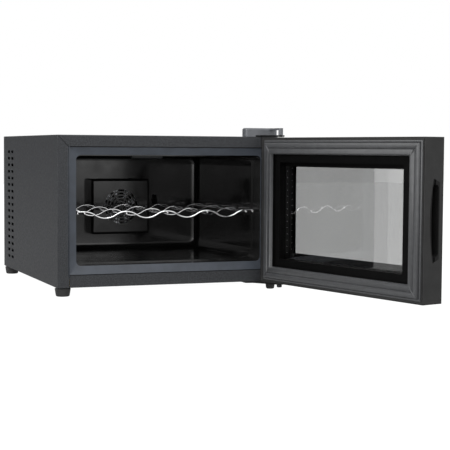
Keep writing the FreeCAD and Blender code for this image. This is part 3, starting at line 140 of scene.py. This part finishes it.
def vary_roughness(material, source, low, high):
    """Roughness that follows a pattern."""
    link(material, spread(material, source, low, high), shader_of(material).inputs["Roughness"])


def relief(material, source, depth, strength=1.0, below=None):
    """Bump from a pattern, over another bump if one is given."""
    bump = node(material, "ShaderNodeBump")
    bump.inputs["Strength"].default_value = strength
    bump.inputs["Distance"].default_value = depth
    link(material, source, bump.inputs["Height"])
    if below is not None:
        link(material, below, bump.inputs["Normal"])
    link(material, bump.outputs["Normal"], shader_of(material).inputs["Normal"])
    return bump.outputs["Normal"]


def tone(value, tint):
    """A grey, tinted."""
    return tuple(value * t for t in tint)


COOL = (0.94, 0.99, 1.08)
BLUISH = (0.84, 0.98, 1.22)
NEUTRAL = (1.0, 1.0, 1.0)


def powder_coat(name, grey, tint, specular=0.22, speck=1.5):
    """Fine-grained powder coat on sheet steel: specks and an orange peel."""
    powder = finish(name, tone(grey, tint), 0.5, specular=specular)
    specks = noise(powder, scale=520.0, detail=3.0)
    mottle(powder, specks, dark=tone(grey / speck, tint), light=tone(grey * speck, tint))
    vary_roughness(powder, noise(powder, scale=260.0, detail=3.0), low=0.42, high=0.58)
    peel = relief(powder, noise(powder, scale=240.0, detail=1.0), depth=0.05 * MM, strength=0.35)
    grains = noise(powder, scale=1500.0, detail=2.0)
    relief(powder, grains, depth=0.03 * MM, strength=0.5, below=peel)
    return powder


def moulded(name, grey, tint, roughness, specular=0.5):
    """Moulded plastic with a fine satin grain."""
    plastic = finish(name, tone(grey, tint), roughness, specular=specular)
    clouds = noise(plastic, scale=45.0, detail=4.0)
    mottle(plastic, clouds, dark=tone(grey * 0.88, tint), light=tone(grey * 1.12, tint))
    wear = noise(plastic, scale=70.0, detail=3.0)
    vary_roughness(plastic, wear, low=roughness * 0.9, high=roughness * 1.12)
    relief(plastic, noise(plastic, scale=900.0, detail=2.0), depth=0.02 * MM, strength=0.5)
    return plastic


def high_gloss(name, grey, tint):
    """Glossy moulded tub: faint sink marks and a little haze."""
    gloss = finish(name, tone(grey, tint), 0.12)
    clouds = noise(gloss, scale=12.0, detail=3.0)
    mottle(gloss, clouds, dark=tone(grey * 0.8, tint), light=tone(grey * 1.3, tint))
    vary_roughness(gloss, noise(gloss, scale=30.0, detail=4.0), low=0.09, high=0.2)
    relief(gloss, noise(gloss, scale=22.0, detail=1.0), depth=0.25 * MM, strength=0.15)
    return gloss


def rubber(name, grey, tint, roughness=0.5, specular=0.4):
    """Soft rubber with a dusty bloom."""
    soft = finish(name, tone(grey, tint), roughness, specular=specular)
    dust = noise(soft, scale=110.0, detail=5.0)
    mottle(soft, dust, dark=tone(grey * 0.8, tint), light=tone(grey * 1.2, tint))
    wear = noise(soft, scale=60.0, detail=4.0)
    vary_roughness(soft, wear, low=roughness * 0.85, high=roughness * 1.2)
    relief(soft, noise(soft, scale=700.0, detail=3.0), depth=0.03 * MM, strength=0.5)
    soft_shader = shader_of(soft)
    soft_shader.inputs["Sheen Weight"].default_value = 0.08
    soft_shader.inputs["Sheen Roughness"].default_value = 0.5
    return soft


def bright_metal(name, colour, roughness, stretch=(1.0, 1.0, 1.0)):
    """Bare or plated metal with faint drawing lines along one axis."""
    metal = finish(name, colour, roughness, metallic=1.0)
    lines = noise(metal, scale=400.0, detail=4.0, stretch=stretch)
    mottle(metal, lines, dark=[c * 0.86 for c in colour], light=colour)
    vary_roughness(metal, lines, low=roughness * 0.75, high=roughness * 1.4)
    relief(metal, lines, depth=0.02 * MM, strength=0.3)
    return metal


def galvanised(name):
    """Zinc-coated sheet with its spangle."""
    zinc = finish(name, (0.5, 0.51, 0.52), 0.4, metallic=1.0)
    cells = node(zinc, "ShaderNodeTexVoronoi")
    cells.inputs["Scale"].default_value = 110.0
    link(zinc, place(zinc), cells.inputs["Vector"])
    spangle = node(zinc, "ShaderNodeRGBToBW")
    link(zinc, cells.outputs["Color"], spangle.inputs["Color"])
    mottle(zinc, spangle.outputs["Val"], dark=(0.36, 0.37, 0.39), light=(0.62, 0.63, 0.65),
           start=0.1, end=0.9)
    vary_roughness(zinc, spangle.outputs["Val"], low=0.3, high=0.5)
    relief(zinc, noise(zinc, scale=300.0, detail=3.0), depth=0.02 * MM, strength=0.4)
    return zinc


def pane_glass(name, tint, haze):
    """Pane of glass; its tint is the share of light that the whole pane lets through."""
    glass = finish(name, tint, 0.0)
    shader = shader_of(glass)
    shader.inputs["Transmission Weight"].default_value = 1.0
    shader.inputs["IOR"].default_value = 1.5
    smudges = noise(glass, scale=9.0, detail=5.0)
    mottle(glass, smudges, dark=[t * 0.97 for t in tint], light=tint)
    link(glass, spread(glass, smudges, low=0.0, high=haze), shader.inputs["Roughness"])
    return glass


def circuit_board(name):
    """Green lacquered board with faint tracks."""
    board = finish(name, (0.02, 0.12, 0.05), 0.35)
    bricks = node(board, "ShaderNodeTexBrick")
    bricks.inputs["Scale"].default_value = 90.0
    bricks.inputs["Mortar Size"].default_value = 0.04
    bricks.inputs["Color1"].default_value = (0.015, 0.10, 0.04, 1.0)
    bricks.inputs["Color2"].default_value = (0.02, 0.14, 0.06, 1.0)
    bricks.inputs["Mortar"].default_value = (0.05, 0.22, 0.09, 1.0)
    turn = node(board, "ShaderNodeMapping")
    turn.inputs["Rotation"].default_value = (math.pi / 2, 0.0, 0.0)
    link(board, place(board), turn.inputs["Vector"])
    link(board, turn.outputs["Vector"], bricks.inputs["Vector"])
    link(board, bricks.outputs["Color"], shader_of(board).inputs["Base Color"])
    relief(board, bricks.outputs["Fac"], depth=0.05 * MM, strength=0.4)
    return board


def foamed(name):
    """Cut polyurethane foam with open cells."""
    foam = finish(name, (0.62, 0.52, 0.30), 0.9, specular=0.2)
    cells = node(foam, "ShaderNodeTexVoronoi")
    cells.inputs["Scale"].default_value = 700.0
    link(foam, place(foam), cells.inputs["Vector"])
    stains = noise(foam, scale=25.0, detail=4.0)
    mottle(foam, stains, dark=(0.50, 0.40, 0.22), light=(0.70, 0.60, 0.38))
    relief(foam, cells.outputs["Distance"], depth=0.6 * MM, strength=0.7)
    return foam


def smoked(name):
    """Smoked lamp cover with a fine diffusing grain."""
    cover = finish(name, (0.02, 0.021, 0.023), 0.35)
    clouds = noise(cover, scale=60.0, detail=3.0)
    mottle(cover, clouds, dark=(0.017, 0.018, 0.020), light=(0.024, 0.025, 0.027))
    vary_roughness(cover, noise(cover, scale=120.0, detail=3.0), low=0.3, high=0.42)
    relief(cover, noise(cover, scale=900.0, detail=2.0), depth=0.03 * MM, strength=0.6)
    return cover


FINISHES = {
    "casing": powder_coat("casing_powder_coat", 0.030, COOL),
    "rear_sheet": powder_coat("rear_powder_coat", 0.022, NEUTRAL),
    "zinc_sheet": galvanised("spangled_zinc"),
    "screws": bright_metal("black_zinc", (0.11, 0.11, 0.12), 0.38),
    "feet": rubber("foot_rubber", 0.018, NEUTRAL, 0.55),
    "trim": moulded("trim_satin", 0.050, BLUISH, 0.42, specular=0.45),
    "liner": high_gloss("liner_gloss", 0.008, NEUTRAL),
    "foam": foamed("poured_foam"),
    "frosted": smoked("smoked_lens"),
    "board": circuit_board("board_lacquer"),
    "black_plastic": moulded("black_satin", 0.002, NEUTRAL, 0.5, specular=0.05),
    "sink": bright_metal("extruded_aluminium", (0.68, 0.69, 0.71), 0.34, (1.0, 1.0, 0.04)),
    "ceramic": moulded("alumina", 0.75, (1.0, 0.99, 0.96), 0.5),
    "fan_plastic": moulded("fan_black", 0.012, NEUTRAL, 0.45),
    "pins": bright_metal("pin_brass", (0.78, 0.62, 0.32), 0.25),
    "nylon": moulded("natural_nylon", 0.62, (1.0, 0.99, 0.95), 0.4),
    "core": moulded("lacquered_core", 0.10, (1.0, 0.9, 0.8), 0.5),
    "cans": moulded("sleeved_can", 0.03, (0.8, 0.9, 1.5), 0.3),
    "shelf_wire": bright_metal("shelf_chrome", (0.80, 0.80, 0.81), 0.10),
    "hinge_steel": powder_coat("hinge_black", 0.004, NEUTRAL, 0.15),
    "pin_steel": bright_metal("blackened_steel", (0.05, 0.05, 0.055), 0.4),
    "hinge_cover": moulded("hinge_cover_satin", 0.10, COOL, 0.4),
    "door_plastic": moulded("door_satin", 0.020, NEUTRAL, 0.45, specular=0.28),
    "pocket": moulded("pocket_satin", 0.008, NEUTRAL, 0.5, specular=0.15),
    "seal": rubber("seal_rubber", 0.030, COOL, 0.36, 0.9),
    "magnet": rubber("bonded_ferrite", 0.05, (1.0, 0.9, 0.88), 0.6),
    "tinted_glass": pane_glass("tinted_pane", (0.34, 0.34, 0.34), 0.003),
    "clear_glass": pane_glass("clear_pane", (0.97, 0.98, 0.975), 0.003),
    "spacer": moulded("spacer_anodised", 0.008, NEUTRAL, 0.4, specular=0.25),
}
FINISH_OF = {part["node"]: part["material_slot"] for part in frame["record"]["subparts"]}
FINISH_OF["handle_pocket"] = "pocket"   # duller than the other black plastic


def coat(piece, slot):
    """Give a new piece the finish of a slot."""
    piece.data.materials.clear()
    piece.data.materials.append(FINISHES[slot])


for part_name, part in frame["nodes"].items():
    for material_slot in part.material_slots:
        material_slot.material = FINISHES[FINISH_OF[part_name]]


# ---- working by hand ------------------------------------------------------------------

def deselect():
    """Leave edit mode with nothing selected."""
    if bpy.context.object and bpy.context.object.mode != "OBJECT":
        bpy.ops.object.mode_set(mode="OBJECT")
    bpy.ops.object.select_all(action="DESELECT")


def settle(name):
    """Name the active piece and put its place into its mesh."""
    piece = bpy.context.object
    piece.name = name
    piece.data.name = name
    bpy.ops.object.transform_apply(location=True, rotation=True, scale=True)
    return piece


def block(name, low, high):
    """A block between two corners."""
    deselect()
    low, high = Vector(low), Vector(high)
    bpy.ops.mesh.primitive_cube_add(size=1.0, location=(low + high) / 2)
    bpy.context.object.scale = high - low
    return settle(name)


def sheet_facing_back(name, x0, x1, z0, z1, y):
    """A flat face whose front is towards +Y."""
    deselect()
    bpy.ops.mesh.primitive_plane_add(size=1.0, location=((x0 + x1) / 2, y, (z0 + z1) / 2),
                                     rotation=(-math.pi / 2, 0.0, 0.0))
    bpy.context.object.scale = (x1 - x0, z1 - z0, 1.0)
    return settle(name)


def edit(piece):
    """Go into edit mode on one piece, with nothing selected."""
    deselect()
    bpy.context.view_layer.objects.active = piece
    piece.select_set(True)
    bpy.ops.object.mode_set(mode="EDIT")
    bpy.ops.mesh.select_all(action="DESELECT")


def pick_faces(piece, test):
    """Select the faces whose centre and normal pass a test."""
    bpy.ops.mesh.select_mode(type="FACE")
    bpy.ops.mesh.select_all(action="DESELECT")
    shape = bmesh.from_edit_mesh(piece.data)
    for face in shape.faces:
        face.select_set(bool(test(face.calc_center_median(), face.normal)))
    bmesh.update_edit_mesh(piece.data)


def pick_edges(piece, test):
    """Select the edges whose two ends pass a test."""
    bpy.ops.mesh.select_mode(type="EDGE")
    bpy.ops.mesh.select_all(action="DESELECT")
    shape = bmesh.from_edit_mesh(piece.data)
    for edge in shape.edges:
        edge.select_set(bool(test(edge.verts[0].co, edge.verts[1].co)))
    bmesh.update_edit_mesh(piece.data)


def pick_vertices(piece, test):
    """Select the vertices whose place passes a test."""
    bpy.ops.mesh.select_mode(type="VERT")
    bpy.ops.mesh.select_all(action="DESELECT")
    shape = bmesh.from_edit_mesh(piece.data)
    for vertex in shape.verts:
        vertex.select_set(bool(test(vertex.co)))
    bmesh.update_edit_mesh(piece.data)


def round_upright_edges(piece, radius):
    """Bevel the edges that run along Y."""
    upright = MM / 10
    edit(piece)
    pick_edges(piece, lambda a, b: abs(a.x - b.x) < upright and abs(a.z - b.z) < upright)
    bpy.ops.mesh.bevel(offset=radius, segments=4)
    deselect()


def discard(piece):
    """Delete a shape that was only a tool or a pattern."""
    bpy.data.objects.remove(piece)


def cut_out(piece, tool):
    """Cut a tool shape out of a piece, and delete the tool."""
    deselect()
    bpy.context.view_layer.objects.active = piece
    piece.select_set(True)
    cut = piece.modifiers.new("cut", "BOOLEAN")
    cut.object = tool
    cut.operation = "DIFFERENCE"
    cut.solver = "EXACT"
    bpy.ops.object.modifier_apply(modifier=cut.name)
    discard(tool)


def round_edges(piece, width, segments=2, angle=30.0):
    """Bevel every edge sharper than an angle, and apply it."""
    deselect()
    bpy.context.view_layer.objects.active = piece
    piece.select_set(True)
    bevel = piece.modifiers.new("bevel", "BEVEL")
    bevel.width = width
    bevel.segments = segments
    bevel.limit_method = "ANGLE"
    bevel.angle_limit = math.radians(angle)
    bpy.ops.object.modifier_apply(modifier=bevel.name)


def smooth(piece, angle=35.0):
    """Shade smooth across shallow angles."""
    deselect()
    bpy.context.view_layer.objects.active = piece
    piece.select_set(True)
    bpy.ops.object.shade_smooth_by_angle(angle=math.radians(angle))


def join(name, pieces):
    """Join finished pieces into one."""
    deselect()
    for piece in pieces:
        piece.select_set(True)
    bpy.context.view_layer.objects.active = pieces[0]
    bpy.ops.object.join()
    return settle(name)


def copied(piece, move):
    """A copy with its own mesh, moved."""
    twin = piece.copy()
    twin.data = piece.data.copy()
    bpy.context.collection.objects.link(twin)
    twin.data.transform(move)
    return twin


def stepped_ring(name, low, high, steps):
    """A mitred frame facing +Y: each step goes inwards and along Y; the back is closed."""
    ring = sheet_facing_back(name, low.x, high.x, low.z, high.z, low.y)
    edit(ring)
    bpy.ops.mesh.select_mode(type="FACE")
    bpy.ops.mesh.select_all(action="SELECT")
    for inward, along in steps:
        bpy.ops.mesh.inset(thickness=inward, depth=along, use_even_offset=True)
    bpy.ops.mesh.delete(type="FACE")
    bpy.ops.mesh.select_mode(type="EDGE")
    bpy.ops.mesh.select_all(action="SELECT")
    bpy.ops.mesh.region_to_loop()
    bpy.ops.mesh.bridge_edge_loops()
    bpy.ops.mesh.select_all(action="SELECT")
    bpy.ops.mesh.normals_make_consistent(inside=False)
    deselect()
    return ring


def hang_on_door(piece, slot, *nodes):
    """Turn a piece modelled on the shut door to where the door stands, and let it ride."""
    piece.data.transform(opened)
    coat(piece, slot)
    if nodes:
        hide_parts(*nodes)
    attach(piece, "door")


def keep_on_cabinet(piece, slot):
    """Finish a piece that stays on the cabinet."""
    coat(piece, slot)
    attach(piece, "cabinet")


# ---- door: the magnetic seal --------------------------------------------------------------

# across the seal from its outer edge to its inner one: (inwards, along the door's thickness)
SEAL_STEPS = [
    (0.3, 1.7), (0.5, 0.6), (1.3, 0.3), (1.5, -0.4), (0.5, -1.1),    # outer flap
    (0.6, -0.2), (0.4, 4.9), (0.6, 0.7), (3.6, 0.4), (4.6, -1.1),    # magnet pocket
    (0.8, -1.6), (0.5, 0.1), (0.7, 1.5),                             # crease
    (4.2, 1.2), (3.4, 0.3), (1.2, -0.3), (0.9, -1.6),                # inner fold
    (0.7, -3.9), (0.35, -0.8),
]


def door_seal():
    """Magnetic seal: outer flap, magnet pocket, crease and inner fold, mitred."""
    low, high = shut_box("gasket")
    steps = [(inward * MM, along * MM) for inward, along in SEAL_STEPS]
    ring = stepped_ring("door_seal", low, high, steps)
    round_edges(ring, 0.3 * MM, segments=2, angle=25.0)
    smooth(ring, 40.0)
    hang_on_door(ring, "seal", "gasket")


def seal_welds():
    """Raised weld along each corner's mitre, fuller towards the inner corner."""
    low, high = shut_box("gasket")
    wide = sum(inward for inward, along in SEAL_STEPS) * MM
    reach, half_length = 0.62 * wide, 0.45 * wide
    sunk, half_thick, half_width = 0.9 * MM, 0.9 * MM, 0.6 * MM
    welds = []
    for x, side in ((low.x, 1), (high.x, -1)):
        for z, way in ((low.z, 1), (high.z, -1)):
            deselect()
            centre = (x + side * reach, high.y - sunk, z + way * reach)
            bpy.ops.mesh.primitive_uv_sphere_add(segments=12, ring_count=8, radius=1.0,
                                                 location=centre)
            weld = bpy.context.object
            weld.scale = (half_length, half_thick, half_width)
            weld.rotation_euler = (0.0, -side * way * math.pi / 4, 0.0)
            settle("weld")
            edit(weld)
            pick_vertices(weld, lambda co: (co.x - centre[0]) * side > 0.0)
            bpy.ops.transform.resize(value=(1.0, 1.0, 1.6), center_override=centre)
            deselect()
            smooth(weld)
            welds.append(weld)
    hang_on_door(join("seal_welds", welds), "seal")


door_seal()
seal_welds()


# ---- door: panes ------------------------------------------------------------------------

glass_low, glass_high = shut_box("outer_glass")
spacer_low, spacer_high = shut_box("spacer_bar")
SPACER_WIDTH = 5.0 * MM
PRINT_THICK = 0.2 * MM
PRINT_PROUD = 0.06 * MM
window_low = spacer_low + Vector((SPACER_WIDTH, 0.0, SPACER_WIDTH))
window_high = spacer_high - Vector((SPACER_WIDTH, 0.0, SPACER_WIDTH))


def printed_border():
    """Black print on the back of the outer pane, a little wider than the spacer bar."""
    inset, corner, through = 0.3 * MM, 1.5 * MM, 1.0 * MM
    hinge_side, free_side, above, below = 2.1 * MM, 7.0 * MM, 8.5 * MM, 10.8 * MM
    back = glass_high.y
    border = block("printed_border",
                   (glass_low.x + inset, back - PRINT_THICK, glass_low.z + inset),
                   (glass_high.x - inset, back + PRINT_PROUD, glass_high.z - inset))
    hole = block("hole",
                 (window_low.x + hinge_side, back - through, window_low.z + below),
                 (window_high.x - free_side, back + through, window_high.z - above))
    round_upright_edges(hole, corner)
    cut_out(border, hole)
    hang_on_door(border, "black_plastic")


def inner_print():
    """Black band across the top of the inner pane."""
    deep = 7.6 * MM
    pane_low, pane_high = shut_box("inner_glass")
    face = spacer_high.y + pane_high.y - pane_low.y
    band = block("inner_print", (window_low.x, face, window_high.z - deep),
                 (window_high.x, face + PRINT_PROUD, window_high.z))
    hang_on_door(band, "black_plastic")


printed_border()
inner_print()


# ---- cabinet: the gap round the trim and its painted shade --------------------------------

def painted_mitre_shade(start, end, wide):
    """Thin black strip lying on the front face between two corners: painted shade in a mitre gap."""
    run = end - start
    gap = block("seam", (0.0, front_near, -wide / 2), (run.length, front_deep, wide / 2))
    angle = -math.atan2(run.z, run.x)
    gap.data.transform(Matrix.Translation(Vector((start.x, 0.0, start.z)))
                       @ Matrix.Rotation(angle, 4, "Y"))
    return gap


def front_opening():
    """Edges of the opening that the folded front strips leave for the trim."""
    low, high = box_of("outer_wrap")
    least = 5.0 * MM
    near = low.y + 0.05 * MM
    wrap = [v.co for v in frame["nodes"]["outer_wrap"].data.vertices if v.co.y < near]
    pan = [v.co for v in frame["nodes"]["base_pan"].data.vertices if v.co.y < near]
    left = min(p.x for p in wrap if p.x > low.x + least)
    right = max(p.x for p in wrap if p.x < high.x - least)
    top = max(p.z for p in wrap if p.z < high.z - least)
    bottom = max(p.z for p in pan)
    return Vector((left, low.y, bottom)), Vector((right, low.y, top))


SEAM_WIDE = 1.2 * MM
SEAM_PROUD = 0.12 * MM
opening_low, opening_high = front_opening()
seam_low = opening_low - Vector((SEAM_WIDE / 2, 0.0, SEAM_WIDE / 2))
seam_high = opening_high + Vector((SEAM_WIDE / 2, 0.0, SEAM_WIDE / 2))
front_near = opening_low.y - SEAM_PROUD
front_deep = opening_low.y + SEAM_PROUD


def painted_seam_shade():
    """Painted shade: black strips where the gap between the folded front strips and the trim, and the strips'
    mitres, lie in shade.
    """
    strips_low, strips_high = box_of("outer_wrap")
    left, bottom = seam_low.x, seam_low.z
    right, top = seam_high.x, seam_high.z
    corners = [
        (left, bottom, left + SEAM_WIDE, top),
        (right - SEAM_WIDE, bottom, right, top),
        (left, top - SEAM_WIDE, right, top),
        (left, bottom, right, bottom + SEAM_WIDE),
    ]
    # black strips that paint the shade in the gap round the trim
    seam_shades = [block("seam", (x0, front_near, z0), (x1, front_deep, z1))
             for x0, z0, x1, z1 in corners]
    short, mitre_wide = 1.2 * MM, 0.8 * MM
    # black slivers that paint the shade in the strips' mitres
    for x, edge, side in ((left, strips_low.x, 1), (right, strips_high.x, -1)):
        start = Vector((x, 0.0, top))
        end = Vector((edge + side * short, 0.0, strips_high.z - short))
        seam_shades.append(painted_mitre_shade(start, end, mitre_wide))
    keep_on_cabinet(join("painted_seam_shade", seam_shades), "black_plastic")


def trim_lips():
    """Rolled edges on both sides of the left-hand gap, which catch the light."""
    wide, high = 1.0 * MM, 0.5 * MM
    lips = []
    for x in (seam_low.x - wide, seam_low.x + SEAM_WIDE):
        lips.append(block("lip", (x, opening_low.y - high, seam_low.z),
                          (x + wide, front_deep, seam_high.z)))
    pair = join("trim_lips", lips)
    round_edges(pair, 0.4 * MM, segments=3)
    smooth(pair)
    keep_on_cabinet(pair, "trim")


painted_seam_shade()
trim_lips()


# ---- door: the spacer bar between the panes ------------------------------------------------

def row_of_spots(start, end, pitch, shift):
    """Places from one end to the other, a pitch apart."""
    spot = start + pitch + shift
    while spot < end - pitch / 2:
        yield spot
        spot += pitch


def spacer_holes_and_reflection():
    """Two staggered rows of small holes along the spacer bar, all round: one row is the bar's own, the other a
    painted reflection of it in the glass.
    """
    # one of these two rows is a painted reflection of the other in the glass
    pitch, rows = 12.0 * MM, (4.0 * MM, 15.5 * MM)
    proud, radius, rim = 0.05 * MM, 0.55 * MM, 0.16 * MM
    spots = []
    for row, depth in enumerate(rows):
        y = spacer_high.y - depth
        shift = row * pitch / 2
        for z, facing in ((window_low.z, 1), (window_high.z, -1)):
            for x in row_of_spots(window_low.x, window_high.x, pitch, shift):
                spots.append((Vector((x, y, z + facing * proud)), Vector((0.0, 0.0, facing))))
        for x, facing in ((window_low.x, 1), (window_high.x, -1)):
            for z in row_of_spots(window_low.z, window_high.z, pitch, shift):
                spots.append((Vector((x + facing * proud, y, z)), Vector((facing, 0.0, 0.0))))
    deselect()
    bpy.ops.mesh.primitive_cylinder_add(vertices=10, radius=radius, depth=2 * proud)
    hole = settle("hole")
    edit(hole)
    pick_faces(hole, lambda centre, normal: normal.z > 0.9)
    bpy.ops.mesh.inset(thickness=rim, depth=-1.5 * proud)
    deselect()
    copies = []
    for spot, facing in spots:
        turn = Vector((0.0, 0.0, 1.0)).rotation_difference(facing).to_matrix().to_4x4()
        copies.append(copied(hole, Matrix.Translation(spot) @ turn))
    discard(hole)
    hang_on_door(join("spacer_holes_and_reflection", copies), "sink")


def spacer_groove():
    """Dark groove between the two rows of holes on the spacer bar, one of which is a painted reflection."""
    behind, groove, proud, slope = 10.3 * MM, 1.1 * MM, 0.08 * MM, 0.002 * MM
    low = Vector((window_low.x, spacer_high.y - behind, window_low.z))
    high = Vector((window_high.x, 0.0, window_high.z))
    steps = [(slope, groove), (proud, 0.0), (slope, -groove)]
    hang_on_door(stepped_ring("spacer_groove", low, high, steps), "black_plastic")


spacer_holes_and_reflection()
spacer_groove()


# ---- floor, light and camera -----------------------------------------------------------

def seen_directly(tree, elsewhere):
    """Full strength where looked at directly or through glass, another in reflections."""
    path = tree.nodes.new("ShaderNodeLightPath")
    direct = tree.nodes.new("ShaderNodeMath")
    direct.operation = "MAXIMUM"
    tree.links.new(path.outputs["Is Camera Ray"], direct.inputs[0])
    tree.links.new(path.outputs["Is Transmission Ray"], direct.inputs[1])
    choice = tree.nodes.new("ShaderNodeMix")
    tree.links.new(direct.outputs["Value"], choice.inputs["Factor"])
    choice.inputs["B"].default_value = 1.0
    if isinstance(elsewhere, float):
        choice.inputs["A"].default_value = elsewhere
    else:
        tree.links.new(elsewhere, choice.inputs["A"])
    return choice.outputs["Result"]


def backdrop():
    """Plain pale floor just under the feet."""
    side, gap = 14.0, 0.2 * MM
    deselect()
    bpy.ops.mesh.primitive_plane_add(size=side, location=(0.0, 0.0, -gap))
    floor = settle("pale_floor")
    pale = finish("pale_floor", (0.10, 0.10, 0.10), 0.9, specular=0.0)
    pale_shader = shader_of(pale)
    pale_shader.inputs["Emission Color"].default_value = (1.0, 1.0, 1.0, 1.0)
    strength = seen_directly(pale.node_tree, elsewhere=0.35)
    link(pale, strength, pale_shader.inputs["Emission Strength"])
    floor.data.materials.append(pale)


def softbox(name, spot, aim, size, power):
    """A square studio light aimed at a point."""
    lamp = bpy.data.lights.new(name, "AREA")
    lamp.shape = "SQUARE"
    lamp.size = size
    lamp.energy = power
    holder = bpy.data.objects.new(name, lamp)
    bpy.context.collection.objects.link(holder)
    holder.location = spot
    holder.rotation_mode = "QUATERNION"
    holder.rotation_quaternion = (Vector(aim) - Vector(spot)).to_track_quat("-Z", "Y")


# Brightness of the studio walls by bearing: (share of a turn, brightness). The share runs
# anticlockwise seen from above: 0 is due left (-X), 0.25 the front, 0.5 the right, 0.75 the rear.
WALLS = [
    (0.00, 3.00),
    (0.10, 3.00),
    (0.24, 1.55),
    (0.30, 1.90),
    (0.42, 0.70),
    (0.56, 0.80),
    (0.68, 0.14),
    (0.80, 0.08),
    (0.893, 0.08),
    (0.908, 2.30),
    (0.94, 1.80),
]
WALLS_END = 0.25       # upward part of a direction at which the walls start to fade
CEILING_START = 0.8    # upward part from which there is only ceiling
CEILING_LEVEL = 1.0


def studio():
    """White backdrop, walls that differ in brightness, and a softbox overhead."""
    world = bpy.data.worlds.new("white_studio")
    world.use_nodes = True
    tree = world.node_tree
    sky = tree.nodes["Background"]
    sky.inputs["Color"].default_value = (1.0, 1.0, 1.0, 1.0)
    direction = tree.nodes.new("ShaderNodeTexCoord")
    parts = tree.nodes.new("ShaderNodeSeparateXYZ")
    tree.links.new(direction.outputs["Generated"], parts.inputs["Vector"])
    bearing = tree.nodes.new("ShaderNodeMath")
    bearing.operation = "ARCTAN2"
    tree.links.new(parts.outputs["Y"], bearing.inputs[0])
    tree.links.new(parts.outputs["X"], bearing.inputs[1])
    share = tree.nodes.new("ShaderNodeMapRange")
    share.inputs["From Min"].default_value = -math.pi
    share.inputs["From Max"].default_value = math.pi
    tree.links.new(bearing.outputs["Value"], share.inputs["Value"])
    walls = tree.nodes.new("ShaderNodeValToRGB")
    stops = walls.color_ramp.elements
    while len(stops) < len(WALLS):
        stops.new(0.5)
    for stop, (position, level) in zip(stops, WALLS):
        stop.position = position
        stop.color = (level, level, level, 1.0)
    tree.links.new(share.outputs["Result"], walls.inputs["Fac"])
    upward = tree.nodes.new("ShaderNodeMapRange")
    upward.inputs["From Min"].default_value = WALLS_END
    upward.inputs["From Max"].default_value = CEILING_START
    tree.links.new(parts.outputs["Z"], upward.inputs["Value"])
    ceiling = tree.nodes.new("ShaderNodeMix")
    tree.links.new(upward.outputs["Result"], ceiling.inputs["Factor"])
    tree.links.new(walls.outputs["Color"], ceiling.inputs["A"])
    ceiling.inputs["B"].default_value = CEILING_LEVEL
    strength = seen_directly(tree, elsewhere=ceiling.outputs["Result"])
    tree.links.new(strength, sky.inputs["Strength"])
    bpy.context.scene.world = world
    bpy.context.scene.view_settings.view_transform = "Standard"
    softbox("overhead", spot=(-0.3, -1.2, 2.4), aim=(0.0, -0.2, 0.15), size=1.6, power=38.0)


def camera():
    """Three-quarter view from the left front, just under the roof's height."""
    eye = Vector((-0.7819, -2.4870, 0.2768))
    yaw, pitch, roll = 0.3782, 0.0609, 0.0067
    ahead = Vector((math.sin(yaw) * math.cos(pitch), math.cos(yaw) * math.cos(pitch),
                    -math.sin(pitch)))
    right = Vector((math.cos(yaw), -math.sin(yaw), 0.0))
    up = right.cross(ahead)
    right_rolled = math.cos(roll) * right + math.sin(roll) * up
    up_rolled = math.cos(roll) * up - math.sin(roll) * right
    turn = Matrix((right_rolled, up_rolled, -ahead)).transposed()
    lens = bpy.data.cameras.new("camera")
    lens.lens = 99.21
    lens.sensor_width = 36.0
    lens.clip_start = 0.05
    holder = bpy.data.objects.new("camera", lens)
    bpy.context.collection.objects.link(holder)
    holder.matrix_world = Matrix.Translation(eye) @ turn.to_4x4()
    bpy.context.scene.camera = holder


backdrop()
studio()
camera()
